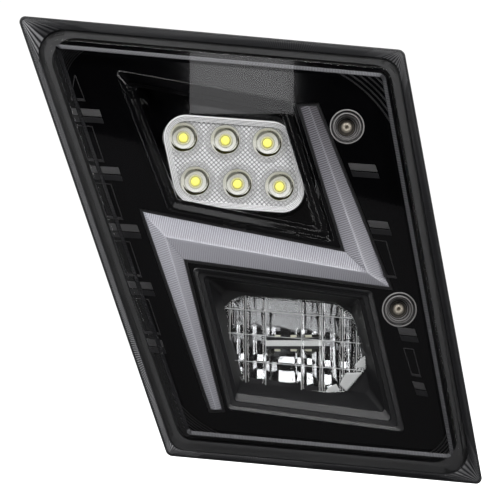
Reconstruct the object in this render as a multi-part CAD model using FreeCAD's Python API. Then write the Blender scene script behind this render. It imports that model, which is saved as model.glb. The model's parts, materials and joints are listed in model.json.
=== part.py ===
import FreeCAD, Part
import math
import os

# Truck front lamp unit, in millimetres. The lamp shines along -Y, +X is to the
# right seen from in front of it, and +Z is up. The origin is the centre of the
# four rear mounting studs, on the plane that their spacers seat against.

# Outline of the flange, a leaning four-sided shape
lamp_width = 242.5
lamp_height = 244.0
left_lean = 78.25
right_lean = 41.0
top_fall = 18.0
bottom_rise = 15.0
flange_radii = [3.0, 4.0, 3.0, 4.0]

# Housing
spacer_length = 14.0
housing_depth = 58.0
wall = 3.0
flange_thickness = 4.0
bucket_front_inset = 6.0
bucket_rear_inset = 14.0
bucket_radii = [12.0, 11.0, 12.0, 10.0]

# Clearances
fit_gap = 0.2
running_gap = 0.05
slide_gap = 0.15
tilt_gap = 1.8
screw_gap = 0.3
screw_tip_gap = 1.0

# Outer lens: rim on the flange, leaning side walls, crowned face
rim_margin = 0.6
rim_thickness = 2.0
lens_height = 12.0
lens_wall = 3.0
lens_seat = [5.6, 5.0, 4.1, 4.0]
lens_lean = [5.8, 5.2, 6.2, 7.4]
lens_seat_radii = [12.0, 10.0, 11.0, 9.0]
lens_face_radii = [4.5, 7.0, 6.5, 5.5]
lens_round_loss = 2.5
crown_radius = 9000.0
seal_margin = 1.6
seal_width = 1.5
seal_depth = 1.5

# Bezel
bezel_gap = 1.5
bezel_layer = 2.0
bezel_shelf = 2.0
bezel_radii = [10.0, 9.0, 10.0, 8.0]
bezel_face_radii = [19.0, 65.0, 18.0, 55.0]
skirt_depth = 6.0
skirt_draft = 1.2
web = 1.6
rung_height = 0.8
rung_width = 15.0
rung_size = 3.8
rung_drop = 29.9
rung_count = 5
rung_margin = 16.5
rung_top = 73.8

# Light guide: corners of the zigzag, clockwise from its left tip, and its ridge
guide = [(-55.6, 19.8), (49.4, -1.0), (26.0, 74.4), (34.7, 74.9),
         (72.3, -19.2), (-34.6, -4.7), (-14.8, -82.7), (-20.3, -82.7)]
ridge = [(30.4, 74.6), (60.8, -12.0), (-43.7, 6.8), (-17.6, -82.7)]
guide_depth = 6.5
guide_roof = 3.5
guide_sink = 1.0
guide_step = 0.5
tray_wall = 1.2
tray_depth = 13.0
tray_floor = 1.4
tray_ledge = 0.7
tray_tab_width = 12.0
tray_tab_height = 9.0
tray_tab_shifts = [(-5.0, 0.0), (0.0, 3.0), (-1.5, -4.0)]
tray_screw_bite = 0.8
tray_skin = 0.35
drl_pitch = 12.0
drl_led = 2.0
led_thickness = 1.2

# Recesses in the bezel
upper_recess_corner = (-70.7, 94.1)
upper_recess_top = (24.4, 77.0)
upper_recess_left = (-41.6, 17.7)
lower_recess_right = (62.8, -18.5)
lower_recess_corner = (80.7, -95.0)
lower_recess_left = (-11.3, -83.0)
pocket_wall = 1.5
upper_pocket_depth = 20.0
upper_pocket_margin = [8.0, 3.6, 4.2, 5.0]
lower_pocket_depth = 16.0
lower_pocket_slope = [6.0, 7.0, 8.0, 4.0]
pocket_floor = 2.0
pocket_radius = 3.0
upper_pocket_ears = [(18.0, 9.0), (10.0, 14.0)]
lower_pocket_ears = [(12.0, 12.0), (16.0, 9.0)]

# Upper lamp module
module_centre = (-8.2, 44.7)
module_across = (69.2, -5.2)
module_down = (10.2, -48.2)
module_radius = 12.0
module_sink = 10.0
cover_thickness = 4.0
cover_skin = 2.0
cover_bevel = 1.2
frame_depth = 19.0
frame_wall = 2.0
led_middle = (-9.8, 46.3)
led_across = (22.2, -1.35)
led_down = (6.4, -23.0)
cup_radius = 7.7
cup_throat = 3.3
cup_depth = 11.0
board_thickness = 1.6
pad_thickness = 0.5
sink_base = 4.0
fin_length = 10.0
fin_thickness = 1.6
fin_pitch = 6.0
package_size = 4.0
package_thickness = 1.0
phosphor_radius = 1.6
phosphor_thickness = 0.3
dome_radius = 2.4

# Pivot and aiming screw of the upper module
pivot_setback = 19.0
pivot_radius = 3.0
pivot_length = 8.0
lug_width = 8.0
lug_length = 3.0
bracket_gap = 2.2
bracket_thickness = 5.0
eye_radius = 6.0
bush_wall = 1.2
bush_flange = 1.0
foot_width = 15.0
foot_height = 26.0
foot_thickness = 3.0
foot_screw_inset = 3.5
foot_screw_bite = 2.1
lever_reach = 31.7
lever_thickness = 4.0
lever_width = 18.0
lever_tail = 6.0
nut_neck = 8.0
nut_play = 0.8
nut_flange = 3.0
nut_size = 12.0
shaft_tail = 1.5
adjuster_radius = 3.0
adjuster_head = 6.0
adjuster_head_length = 6.0
adjuster_socket = 2.5
adjuster_socket_floor = 2.0
adjuster_notch = 1.2
adjuster_notch_count = 6
sleeve_wall = 2.0
sleeve_boss = 3.0
sleeve_depth = 7.0
ring_section = 0.9
clip_radius = 5.5
clip_thickness = 1.0

# Lower lamp module: outline of the fluted window, clockwise
window = [(-9.5, -26.2), (-4.0, -24.0), (44.6, -27.3), (53.8, -34.1), (61.3, -55.0), (61.3, -62.5),
          (50.4, -75.1), (40.4, -75.4), (-0.5, -72.5), (-7.4, -65.6), (-14.9, -45.7), (-15.8, -32.3)]
window_radius = 1.5
window_stand = 3.0
window_flange = 2.2
bowl_centre = (23.0, -49.5)
bowl_depth = 20.0
bowl_shrink = 0.55
bowl_wall = 1.5
bowl_screw_sides = [5, 8, 11]
bowl_ear = 3.4
bowl_boss = 2.2
bowl_ear_gap = 0.6
bowl_screw_length = 4.5
blade_width = 30.0
blade_thickness = 3.0
blade_length = 18.0
blade_led = 3.0
blade_gap = 1.0
blade_board_width = 28.0
blade_board_length = 7.0
blade_led_pitch = 8.3
blade_led_setback = 1.0
sink_width = 34.0
sink_height = 30.0
sink_flange_width = 50.0
sink_flange_height = 44.0
sink_flange = 3.0
sink_screw_inset = 4.0
rear_fin_height = 8.5
rear_fin_thickness = 2.0
rear_fin_pitch = 5.0
rear_fin_count = 7
gasket = 1.0
gasket_width = 3.0

# Screws: shank radius, head radius, head height
screw_radius = 1.5
screw_head = 2.9
screw_head_height = 1.8
screw_boss = 3.6
screw_grip = 6.0
small_radius = 1.0
small_head = 2.0
small_head_height = 1.2
bezel_screw_radius = 2.0
bezel_screw_head = 4.2
bezel_screw_hub = 2.1
bezel_screw_head_height = 2.4
bezel_screw_hub_height = 0.8
bezel_screw_grip = 16.0
bezel_screws = [(50.4, 64.0), (77.5, -30.9)]
well_radius = 7.4
well_floor_radius = 5.6
well_wall = 1.0
well_depth = 8.0
post_radius = 6.0

# Mounting studs
stud_spacing_x = 40.0
stud_spacing_z = 160.0
stud_radius = 3.0
stud_shank = 3.5
stud_length = 16.0
stud_head = 5.5
stud_head_height = 3.0
stud_spacer = 8.0

# Rear cover, vents, connector, driver board
cover_centre = (-8.0, 47.0)
cover_opening = 17.0
cover_radius = 25.0
cover_plate = 3.0
cover_lip = 1.5
cover_rib = 2.0
cover_screw_circle = 22.0
cover_screw_count = 4
vents = [(-58.0, 62.0), (66.0, -74.0)]
vent_stem = 3.0
vent_head = 7.0
vent_head_height = 6.0
vent_mouth = 2.0
vent_tail = 2.0
connector_centre = (57.0, 10.0)
connector_width = 24.0
connector_height = 20.0
connector_wall = 1.8
connector_reach = 10.0
connector_flange = 6.0
connector_lip = 2.0
connector_flange_thickness = 2.0
connector_floor = 1.0
latch_width = 6.0
latch_height = 1.6
latch_setback = 2.0
pin_size = 1.2
pin_pitch = 4.0
pin_count = 4
pin_reach = 6.0
pin_tail = 0.8
driver_centre = (58.5, 9.0)
driver_width = 32.0
driver_height = 50.0
driver_inset = 4.0
driver_standoff = 7.0
standoff_radius = 3.0
coil_offset = (-6.0, 14.0)
coil_size = 10.0
coil_height = 6.0
can_offsets = [(6.0, 9.0), (6.0, 19.0)]
can_radius = 4.0
can_height = 9.0
chip_offsets = [(-8.0, -15.0), (4.0, -15.0)]
chip_size = 7.0
chip_height = 1.5

# Planes along Y, from the mounting plane forwards
rear_face = -spacer_length
rear_inner = rear_face - wall
flange_front = rear_face - housing_depth
flange_back = flange_front + flange_thickness
rim_front = flange_front - rim_thickness
lens_front = rim_front - lens_height
bezel_front = rim_front
bezel_step = bezel_front + bezel_layer
bezel_back = bezel_step + bezel_layer
guide_eave = bezel_front + guide_sink + guide_step
guide_back = guide_eave + guide_depth
tray_front = bezel_front + guide_sink
tray_back = tray_front + tray_depth
module_front = bezel_front + module_sink
frame_front = module_front + cover_thickness
frame_back = frame_front + frame_depth
pivot_y = module_front + pivot_setback
pivot_z = module_centre[1]
well_back = bezel_front + well_depth + bezel_layer
sleeve_front = rear_inner - sleeve_depth
lower_floor_back = bezel_front + lower_pocket_depth + pocket_floor
window_seat = lower_floor_back + pocket_floor
drl_board_back = tray_back - tray_floor
drl_board_front = drl_board_back - board_thickness
reflector_back = frame_front + cup_depth
module_board_back = reflector_back + board_thickness
pad_back = module_board_back + pad_thickness
lever_front = frame_back - lever_thickness
nut_neck_length = lever_thickness + 2 * nut_play
nut_neck_front = lever_front - nut_play
nut_front = nut_neck_front - nut_flange
nut_back = nut_neck_front + nut_neck_length + nut_flange
sleeve_bore = adjuster_radius + running_gap
ring_seat = sleeve_bore + 2 * ring_section
ring_depth = 2 * ring_section
bowl_front = window_seat + pocket_floor
bowl_back = bowl_front + bowl_depth
blade_front = bowl_back - blade_length
sink_plate_front = bowl_back + blade_gap
sink_flange_front = rear_face + gasket
sink_flange_back = sink_flange_front + sink_flange
cover_front = rear_face + gasket
socket_flange_front = rear_face + gasket
socket_flange_back = socket_flange_front + connector_flange_thickness
socket_mouth = socket_flange_back + connector_reach
driver_back = rear_inner - driver_standoff
driver_front = driver_back - board_thickness
socket_floor = rear_face - connector_floor


def at(point, y):
    return FreeCAD.Vector(point[0], y, point[1])


def shifted(point, *steps):
    """A point moved by (dx, dz) steps."""
    return (point[0] + sum(s[0] for s in steps), point[1] + sum(s[1] for s in steps))


def times(vector, amount):
    return (vector[0] * amount, vector[1] * amount)


def between(a, b):
    return times(shifted(a, b), 0.5)


def quad(centre, across, down):
    """Corners of a parallelogram, clockwise from the top left."""
    return [shifted(centre, times(across, i), times(down, j))
            for i, j in ((-0.5, -0.5), (0.5, -0.5), (0.5, 0.5), (-0.5, 0.5))]


def rectangle(centre, width, height):
    return quad(centre, (width, 0.0), (0.0, -height))


def beside(a, b, amount):
    """The line from a to b, moved to its right-hand side."""
    length = math.dist(a, b)
    step = ((b[1] - a[1]) / length * amount, (a[0] - b[0]) / length * amount)
    return shifted(a, step), shifted(b, step)


def crossing(a, b, c, d):
    """Where the line a-b meets the line c-d."""
    ux, uz = b[0] - a[0], b[1] - a[1]
    vx, vz = d[0] - c[0], d[1] - c[1]
    share = ((c[0] - a[0]) * vz - (c[1] - a[1]) * vx) / (ux * vz - uz * vx)
    return (a[0] + share * ux, a[1] + share * uz)


def as_list(value, count):
    return list(value) if isinstance(value, (list, tuple)) else [value] * count


def inset(points, amounts):
    """An outline with each side moved inwards by its amount, outwards if negative."""
    count = len(points)
    amounts = as_list(amounts, count)
    sides = [beside(points[i], points[(i + 1) % count], amounts[i]) for i in range(count)]
    return [crossing(*sides[i - 1], *sides[i]) for i in range(count)]


def shrunk(points, centre, factor):
    return [(centre[0] + (x - centre[0]) * factor, centre[1] + (z - centre[1]) * factor)
            for x, z in points]


def outline(points, radii, y):
    """A closed wire at one depth, with a round of its own at each corner."""
    count = len(points)
    radii = as_list(radii, count)
    corners = []
    for i, here in enumerate(points):
        before = FreeCAD.Vector(points[i - 1][0] - here[0], 0, points[i - 1][1] - here[1])
        after_point = points[(i + 1) % count]
        after = FreeCAD.Vector(after_point[0] - here[0], 0, after_point[1] - here[1])
        before.normalize()
        after.normalize()
        half = before.getAngle(after) / 2
        tip = at(here, y)
        reach = radii[i] / math.tan(half)
        middle = before.add(after)
        middle.normalize()
        near = radii[i] / math.sin(half) - radii[i]
        corners.append((tip + before * reach, tip + middle * near, tip + after * reach))
    edges = []
    for i, (start, middle, end) in enumerate(corners):
        edges.append(Part.LineSegment(corners[i - 1][2], start).toShape())
        if radii[i] > 0:
            edges.append(Part.Arc(start, middle, end).toShape())
    return Part.Wire(edges)


def plate(points, radii, y_from, y_to):
    face = Part.Face(outline(points, radii, y_from))
    return face.extrude(FreeCAD.Vector(0, y_to - y_from, 0))


def tapered(points_a, radii_a, y_a, points_b, radii_b, y_b):
    """A solid whose outline changes evenly from one depth to another."""
    wires = [outline(points_a, radii_a, y_a), outline(points_b, radii_b, y_b)]
    return Part.makeLoft(wires, True, True)


def rod(centre, radius, y_from, y_to):
    return Part.makeCylinder(radius, y_to - y_from, at(centre, y_from), FreeCAD.Vector(0, 1, 0))


def cone(centre, radius_from, y_from, radius_to, y_to):
    axis = FreeCAD.Vector(0, 1, 0)
    return Part.makeCone(radius_from, radius_to, y_to - y_from, at(centre, y_from), axis)


def cross_rod(x_from, x_to, radius, y, z):
    base = FreeCAD.Vector(x_from, y, z)
    return Part.makeCylinder(radius, x_to - x_from, base, FreeCAD.Vector(1, 0, 0))


def box(centre, width, height, y_from, y_to):
    corner = FreeCAD.Vector(centre[0] - width / 2, y_from, centre[1] - height / 2)
    return Part.makeBox(width, y_to - y_from, height, corner)


def joined(shapes):
    return shapes[0].multiFuse(shapes[1:]).removeSplitter()


def group(shapes):
    return Part.makeCompound(shapes)


def screw(centre, y_seat, length, radius, head, head_height, way):
    """A cap screw whose head stands on y_seat, with its shank going along way."""
    ends = sorted((y_seat, y_seat + way * length))
    caps = sorted((y_seat, y_seat - way * head_height))
    return joined([rod(centre, radius, *ends), rod(centre, head, *caps)])


def ball(radius, centre, y):
    return Part.makeSphere(radius, at(centre, y))


# ---- Outlines that several pieces share
flange = [(-lamp_width / 2, lamp_height / 2),
          (lamp_width / 2 - right_lean, lamp_height / 2 - top_fall),
          (lamp_width / 2, -lamp_height / 2),
          (-lamp_width / 2 + left_lean, -lamp_height / 2 + bottom_rise)]
bucket_opening = inset(flange, bucket_front_inset + wall)
bezel_outline = inset(bucket_opening, bezel_gap)
tray_outline = inset(guide, -(fit_gap + tray_wall))
guide_opening = inset(tray_outline, -fit_gap)
web_line = 2 * fit_gap + tray_wall + web

upper_bottom = beside(guide[0], guide[1], -web_line)
upper_right = beside(guide[1], guide[2], -web_line)
upper_top = (upper_recess_corner, upper_recess_top)
upper_left = (upper_recess_corner, upper_recess_left)
upper_recess = [upper_recess_corner, crossing(*upper_top, *upper_right),
                crossing(*upper_right, *upper_bottom), crossing(*upper_bottom, *upper_left)]

lower_top = beside(guide[4], guide[5], -web_line)
lower_side = beside(guide[5], guide[6], -web_line)
lower_right = (lower_recess_right, lower_recess_corner)
lower_bottom = (lower_recess_corner, lower_recess_left)
lower_recess = [crossing(*lower_side, *lower_top), crossing(*lower_top, *lower_right),
                lower_recess_corner, crossing(*lower_bottom, *lower_side)]

module_outline = quad(module_centre, module_across, module_down)
led_centres = [shifted(led_middle, times(led_across, i), times(led_down, j))
               for j in (-0.5, 0.5) for i in (-1, 0, 1)]
stud_centres = [(i * stud_spacing_x / 2, j * stud_spacing_z / 2) for i in (-1, 1) for j in (-1, 1)]
cover_screw_centres = [shifted(cover_centre, (cover_screw_circle * math.cos(turn),
                                              cover_screw_circle * math.sin(turn)))
                       for turn in (math.tau * (i + 0.5) / cover_screw_count
                                    for i in range(cover_screw_count))]
sink_screw_centres = rectangle(bowl_centre, sink_flange_width - 2 * sink_screw_inset,
                               sink_flange_height - 2 * sink_screw_inset)
driver_screw_centres = rectangle(driver_centre, driver_width - 2 * driver_inset,
                                 driver_height - 2 * driver_inset)
connector_screw_centres = [shifted(connector_centre, (i * (connector_width + connector_flange) / 2, 0))
                           for i in (-1, 1)]
bowl_screw_reach = window_flange + bowl_boss + bowl_ear_gap
bowl_screws = [between(*beside(window[i], window[i + 1 - len(window)], -bowl_screw_reach))
               for i in bowl_screw_sides]
adjuster_centre = (module_centre[0], pivot_z - lever_reach)
bracket_sides = []
for way in (-1, 1):
    bracket_near = module_centre[0] + way * (module_across[0] / 2 + lug_length + bracket_gap)
    bracket_sides.append((way, bracket_near, bracket_near + way * bracket_thickness))
foot_screw_drop = foot_height / 2 - foot_screw_inset
foot_screw_centres = [((near + far) / 2, pivot_z + j * foot_screw_drop)
                      for way, near, far in bracket_sides for j in (-1, 1)]
liner = inset(module_outline, frame_wall + fit_gap)
liner_radius = module_radius - frame_wall - fit_gap
board_screw_centres = [shifted(led_middle, times(led_across, i)) for i in (-0.5, 0.5)]
window_lip = inset(window, -window_flange)
pin_places = [shifted(connector_centre, ((i - (pin_count - 1) / 2) * pin_pitch, 0))
              for i in range(pin_count)]


# ---- Housing: flange, tapered bucket, rear wall with its bosses, posts and openings
def make_lens_seal():
    outer = plate(inset(flange, seal_margin), flange_radii, flange_front, flange_front + seal_depth)
    inner = plate(inset(flange, seal_margin + seal_width), flange_radii, flange_front,
                  flange_front + seal_depth)
    return outer.cut(inner)


def make_housing():
    bucket = tapered(inset(flange, bucket_front_inset), bucket_radii, flange_back,
                     inset(flange, bucket_rear_inset), bucket_radii, rear_face)
    brim = plate(flange, flange_radii, flange_front, flange_back)
    hollow = tapered(bucket_opening, bucket_radii, flange_front,
                     inset(flange, bucket_rear_inset + wall), bucket_radii, rear_inner)
    shell = joined([brim, bucket]).cut(hollow)
    inner_bosses = cover_screw_centres + sink_screw_centres + connector_screw_centres
    solids = [rod(c, screw_boss, rear_inner - screw_grip, rear_inner) for c in inner_bosses]
    solids += [rod(c, post_radius, well_back, rear_inner) for c in bezel_screws]
    solids += [rod(c, standoff_radius, rear_inner - driver_standoff, rear_inner)
               for c in driver_screw_centres]
    sleeve_radius = adjuster_radius + running_gap + sleeve_wall
    solids.append(rod(adjuster_centre, sleeve_radius + sleeve_boss, sleeve_front, rear_inner))
    shell = joined([shell] + solids)
    holes = [make_lens_seal()]
    holes += [rod(c, screw_radius, rear_inner - screw_grip, rear_face) for c in inner_bosses]
    holes += [rod(c, bezel_screw_radius, well_back, well_back + bezel_screw_grip) for c in bezel_screws]
    holes += [rod(c, stud_shank, rear_inner, rear_face) for c in stud_centres]
    holes += [rod(c, small_radius, rear_inner - driver_standoff, rear_inner) for c in driver_screw_centres]
    holes += [rod(c, screw_radius, rear_inner, rear_inner + foot_screw_bite) for c in foot_screw_centres]
    holes += [rod(c, vent_stem, rear_inner, rear_face) for c in vents]
    holes.append(rod(adjuster_centre, sleeve_radius, sleeve_front, rear_face))
    holes.append(rod(cover_centre, cover_opening, rear_inner, rear_face))
    holes.append(box(bowl_centre, sink_width + 2 * fit_gap, sink_height + 2 * fit_gap,
                     rear_inner, rear_face))
    holes.append(box(connector_centre, connector_width + 2 * fit_gap, connector_height + 2 * fit_gap,
                     rear_inner, rear_face))
    return shell.cut(holes)


# ---- Outer lens: textured rim, leaning walls and a slightly crowned face
def make_outer_lens():
    rim = plate(inset(flange, rim_margin), flange_radii, rim_front, flange_front)
    seat = inset(flange, lens_seat)
    face = inset(seat, lens_lean)
    outer = tapered(face, lens_face_radii, lens_front, seat, lens_seat_radii, flange_front)
    outer = outer.common(ball(crown_radius, (0, 0), lens_front + crown_radius))
    inner = tapered(inset(face, lens_wall), [r - lens_round_loss for r in lens_face_radii], lens_front,
                    inset(seat, lens_wall), [r - lens_round_loss for r in lens_seat_radii], flange_front)
    inner = inner.common(ball(crown_radius - lens_wall, (0, 0), lens_front + crown_radius))
    return joined([rim, outer]).cut(inner)


# ---- Bezel: stepped face, skirt, screw wells, rungs, and openings for pockets and guide
def make_main_bezel():
    base = plate(bezel_outline, bezel_radii, bezel_step, bezel_back)
    face = plate(inset(bezel_outline, bezel_shelf), bezel_face_radii, bezel_front, bezel_step)
    skirt_end = inset(bezel_outline, skirt_draft)
    skirt = tapered(bezel_outline, bezel_radii, bezel_back, skirt_end, bezel_radii,
                    bezel_back + skirt_depth)
    skirt = skirt.cut(tapered(inset(bezel_outline, bezel_layer), bezel_radii, bezel_back,
                              inset(skirt_end, bezel_layer), bezel_radii, bezel_back + skirt_depth))
    cups = [rod(c, well_radius + well_wall, bezel_step, well_back) for c in bezel_screws]
    lean = (flange[0][0] - flange[3][0]) / (flange[0][1] - flange[3][1])
    rungs = []
    for i in range(rung_count):
        z_top = rung_top - i * rung_drop
        x_left = flange[0][0] + (z_top - flange[0][1]) * lean + rung_margin
        rungs.append(box((x_left + rung_width / 2, z_top - rung_size / 2), rung_width, rung_size,
                         bezel_front - rung_height, bezel_front))
    solid = joined([base, face, skirt] + cups + rungs)
    cuts = [plate(upper_recess, pocket_radius, bezel_front, bezel_back),
            plate(lower_recess, pocket_radius, bezel_front, bezel_back),
            plate(guide_opening, 0, bezel_front, bezel_back)]
    cuts += [cone(c, well_radius, bezel_front, well_floor_radius, bezel_front + well_depth)
             for c in bezel_screws]
    cuts += [rod(c, bezel_screw_radius + screw_gap, bezel_front, well_back) for c in bezel_screws]
    return solid.cut(cuts)


# ---- Pockets: funnels that hang in the bezel, with ears welded to its back
def make_pocket(mouth, floor, depth, ears, opening):
    floor_front = bezel_front + depth
    floor_back = floor_front + pocket_floor
    outer = tapered(mouth, pocket_radius, bezel_front, floor, pocket_radius, floor_back)
    tabs = [box(c, w, h, bezel_back, bezel_back + pocket_floor) for c, w, h in ears]
    inner = tapered(inset(mouth, pocket_wall), pocket_radius, bezel_front,
                    inset(floor, pocket_wall), pocket_radius, floor_front)
    return joined([outer] + tabs).cut([inner, opening])


def make_upper_pocket():
    floor = inset(module_outline, [-m for m in upper_pocket_margin])
    floor_front = bezel_front + upper_pocket_depth
    opening = plate(inset(module_outline, -tilt_gap), module_radius + tilt_gap, floor_front,
                    floor_front + pocket_floor)
    sides = [between(upper_recess[0], upper_recess[1]), between(upper_recess[3], upper_recess[0])]
    ears = [(side, *size) for side, size in zip(sides, upper_pocket_ears)]
    return make_pocket(inset(upper_recess, fit_gap), floor, upper_pocket_depth, ears, opening)


def make_lower_pocket():
    floor = inset(lower_recess, lower_pocket_slope)
    floor_front = bezel_front + lower_pocket_depth
    opening = plate(inset(window, -slide_gap), window_radius, floor_front, floor_front + pocket_floor)
    sides = [between(lower_recess[1], lower_recess[2]), between(lower_recess[2], lower_recess[3])]
    ears = [(side, *size) for side, size in zip(sides, lower_pocket_ears)]
    pocket = make_pocket(inset(lower_recess, fit_gap), floor, lower_pocket_depth, ears, opening)
    bosses = [rod(c, bowl_boss, lower_floor_back, window_seat) for c in bowl_screws]
    holes = [rod(c, small_radius, lower_floor_back - pocket_floor / 2, window_seat) for c in bowl_screws]
    return joined([pocket] + bosses).cut(holes)


# ---- Zigzag light guide with a ridged roof, in a ledged tray over its LED board
def make_light_guide():
    tops = [2, 1, 0, 0, 1, 2, 3, 3]
    faces = [Part.Face(Part.makePolygon([at(p, guide_back) for p in guide + guide[:1]]))]
    for i, here in enumerate(guide):
        after = guide[(i + 1) % len(guide)]
        low = [at(here, guide_back), at(after, guide_back), at(after, guide_eave), at(here, guide_eave)]
        faces.append(Part.Face(Part.makePolygon(low + low[:1])))
        first = at(ridge[tops[i]], guide_eave - guide_roof)
        second = at(ridge[tops[(i + 1) % len(guide)]], guide_eave - guide_roof)
        corners = [at(here, guide_eave), at(after, guide_eave), second]
        faces.append(Part.Face(Part.makePolygon(corners + corners[:1])))
        if not first.isEqual(second, 0.001):
            corners = [at(here, guide_eave), second, first]
            faces.append(Part.Face(Part.makePolygon(corners + corners[:1])))
    solid = Part.Solid(Part.Shell(faces))
    return solid if solid.Volume > 0 else solid.reversed()


def make_guide_tray():
    body = plate(tray_outline, 0, tray_front, tray_back)
    tips = [guide[0], between(guide[2], guide[3]), between(guide[6], guide[7])]
    tabs = [box(shifted(tip, step), tray_tab_width, tray_tab_height, bezel_back, bezel_back + pocket_floor)
            for tip, step in zip(tips, tray_tab_shifts)]
    channel = plate(inset(guide, -fit_gap), 0, tray_front, guide_back)
    well = plate(inset(guide, tray_ledge), 0, guide_back, tray_back - tray_floor)
    holes = [rod(c, small_radius, tray_back - tray_floor, tray_back - tray_skin)
             for c in drl_screw_centres]
    return joined([body] + tabs).cut([channel, well] + holes)


def along_ridge(start):
    """Places a pitch apart along the three runs of the ridge, from start pitches in."""
    places = []
    for a, b in zip(ridge, ridge[1:]):
        count = int(math.dist(a, b) / drl_pitch)
        step = times(shifted(b, times(a, -1)), 1 / count)
        places.append([shifted(a, times(step, start + i)) for i in range(count)])
    return places


drl_led_centres = [place for run in along_ridge(0.5) for place in run]
drl_screw_centres = [run[len(run) // 2] for run in along_ridge(0)]


def make_drl_board():
    board = plate(inset(guide, tray_ledge + fit_gap), 0, drl_board_front, drl_board_back)
    return board.cut([rod(c, small_radius + fit_gap, drl_board_front, drl_board_back)
                      for c in drl_screw_centres])


# ---- Upper module: clear cover, six-cup reflector, LED board, heat sink and tilting frame
def make_module_cover():
    front = inset(module_outline, cover_bevel)
    bevel_back = module_front + cover_bevel
    block = joined([
        tapered(front, module_radius - cover_bevel, module_front, module_outline, module_radius, bevel_back),
        plate(module_outline, module_radius, bevel_back, frame_front)])
    hollow = plate(inset(module_outline, frame_wall), module_radius - frame_wall,
                   module_front + cover_skin, frame_front)
    return block.cut(hollow)


def make_module_reflector():
    block = plate(liner, liner_radius, frame_front, reflector_back)
    cups = [cone(c, cup_radius, frame_front, cup_throat, reflector_back) for c in led_centres]
    seats = [rod(c, screw_head + fit_gap, reflector_back - screw_head_height - fit_gap, reflector_back)
             for c in board_screw_centres]
    return block.cut(cups + seats)


def make_module_board():
    board = plate(liner, liner_radius, reflector_back, module_board_back)
    return board.cut([rod(c, screw_radius, reflector_back, module_board_back)
                      for c in board_screw_centres])


def make_thermal_pad():
    pad = plate(liner, liner_radius, module_board_back, pad_back)
    return pad.cut([rod(c, screw_radius, module_board_back, pad_back) for c in board_screw_centres])


def make_module_heat_sink():
    pedestal = plate(liner, liner_radius, pad_back, frame_back)
    base = plate(module_outline, module_radius, frame_back, frame_back + sink_base)
    fins_end = frame_back + sink_base + fin_length
    limit = plate(module_outline, module_radius, frame_back + sink_base, fins_end)
    reach = int(module_across[0] / 2 / fin_pitch)
    fins = [box(shifted(module_centre, (i * fin_pitch, 0)), fin_thickness, lamp_height,
                frame_back + sink_base, fins_end).common(limit) for i in range(-reach, reach + 1)]
    solid = joined([pedestal, base] + fins)
    return solid.cut([rod(c, screw_radius, pad_back, frame_back) for c in board_screw_centres])


def make_module_frame():
    ring = plate(module_outline, module_radius, frame_front, frame_back)
    lugs = []
    for way, near, far in bracket_sides:
        side_x = module_centre[0] + way * module_across[0] / 2
        outer_x = side_x + way * lug_length
        lug = sorted((side_x - way * frame_wall, outer_x))
        lugs.append(Part.makeBox(lug[1] - lug[0], lug_width, lug_width,
                                 FreeCAD.Vector(lug[0], pivot_y - lug_width / 2, pivot_z - lug_width / 2)))
        pin = sorted((side_x, outer_x + way * pivot_length))
        lugs.append(cross_rod(pin[0], pin[1], pivot_radius, pivot_y, pivot_z))
    lever_top = module_centre[1] + module_down[1] / 2 + frame_wall
    lever_bottom = adjuster_centre[1] - lever_tail
    lever = box((adjuster_centre[0], (lever_top + lever_bottom) / 2), lever_width,
                lever_top - lever_bottom, lever_front, lever_front + lever_thickness)
    slot_top = adjuster_centre[1] + nut_neck / 2 + screw_gap
    slot = box((adjuster_centre[0], (slot_top + lever_bottom) / 2), nut_neck + 2 * slide_gap,
               slot_top - lever_bottom, lever_front, lever_front + lever_thickness)
    hollow = plate(inset(module_outline, frame_wall), module_radius - frame_wall, frame_front, frame_back)
    return joined([ring, lever] + lugs).cut([hollow, slot])


def on_leds(make):
    return group([make(c) for c in led_centres])


def make_module_leds():
    face = reflector_back - package_thickness
    return on_leds(lambda c: box(c, package_size, package_size, face, reflector_back))


def make_phosphors():
    face = reflector_back - package_thickness
    return on_leds(lambda c: rod(c, phosphor_radius, face - phosphor_thickness, face))


def make_led_domes():
    face = reflector_back - package_thickness

    def dome(c):
        half = ball(dome_radius, c, face).common(rod(c, dome_radius, face - dome_radius, face))
        limit = box(c, package_size, package_size, face - dome_radius, face)
        return half.common(limit).cut(rod(c, phosphor_radius, face - phosphor_thickness, face))
    return on_leds(dome)


def make_board_screws():
    length = frame_back - reflector_back
    return group([screw(c, reflector_back, length, screw_radius, screw_head, screw_head_height, 1)
                  for c in board_screw_centres])


# ---- Pivot brackets with their bushes, and the aiming screw that moves the module
def make_bracket(way, near, far):
    left, right = sorted((near, far))
    eye = cross_rod(left, right, eye_radius, pivot_y, pivot_z)
    middle = (left + right) / 2
    foot_front = rear_inner - foot_thickness
    leg = box((middle, pivot_z), bracket_thickness, 2 * eye_radius, pivot_y, rear_inner)
    foot = box((middle, pivot_z), foot_width, foot_height, foot_front, rear_inner)
    bore = cross_rod(left, right, pivot_radius + running_gap + bush_wall, pivot_y, pivot_z)
    holes = [rod((middle, pivot_z + j * foot_screw_drop), screw_radius + screw_gap, foot_front, rear_inner)
             for j in (-1, 1)]
    return joined([eye, leg, foot]).cut([bore] + holes)


def make_bushes():
    bushes = []
    for way, near, far in bracket_sides:
        left, right = sorted((near, far))
        tube = cross_rod(left, right, pivot_radius + running_gap + bush_wall, pivot_y, pivot_z)
        lip = sorted((near, near - way * bush_flange))
        collar = cross_rod(lip[0], lip[1], eye_radius - fit_gap, pivot_y, pivot_z)
        whole = sorted((near - way * bush_flange, far))
        bore = cross_rod(whole[0], whole[1], pivot_radius + running_gap, pivot_y, pivot_z)
        bushes.append(joined([tube, collar]).cut(bore))
    return group(bushes)


def make_foot_screws():
    seat = rear_inner - foot_thickness
    return group([screw(c, seat, foot_thickness + foot_screw_bite, screw_radius, screw_head,
                        screw_head_height, 1) for c in foot_screw_centres])


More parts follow.
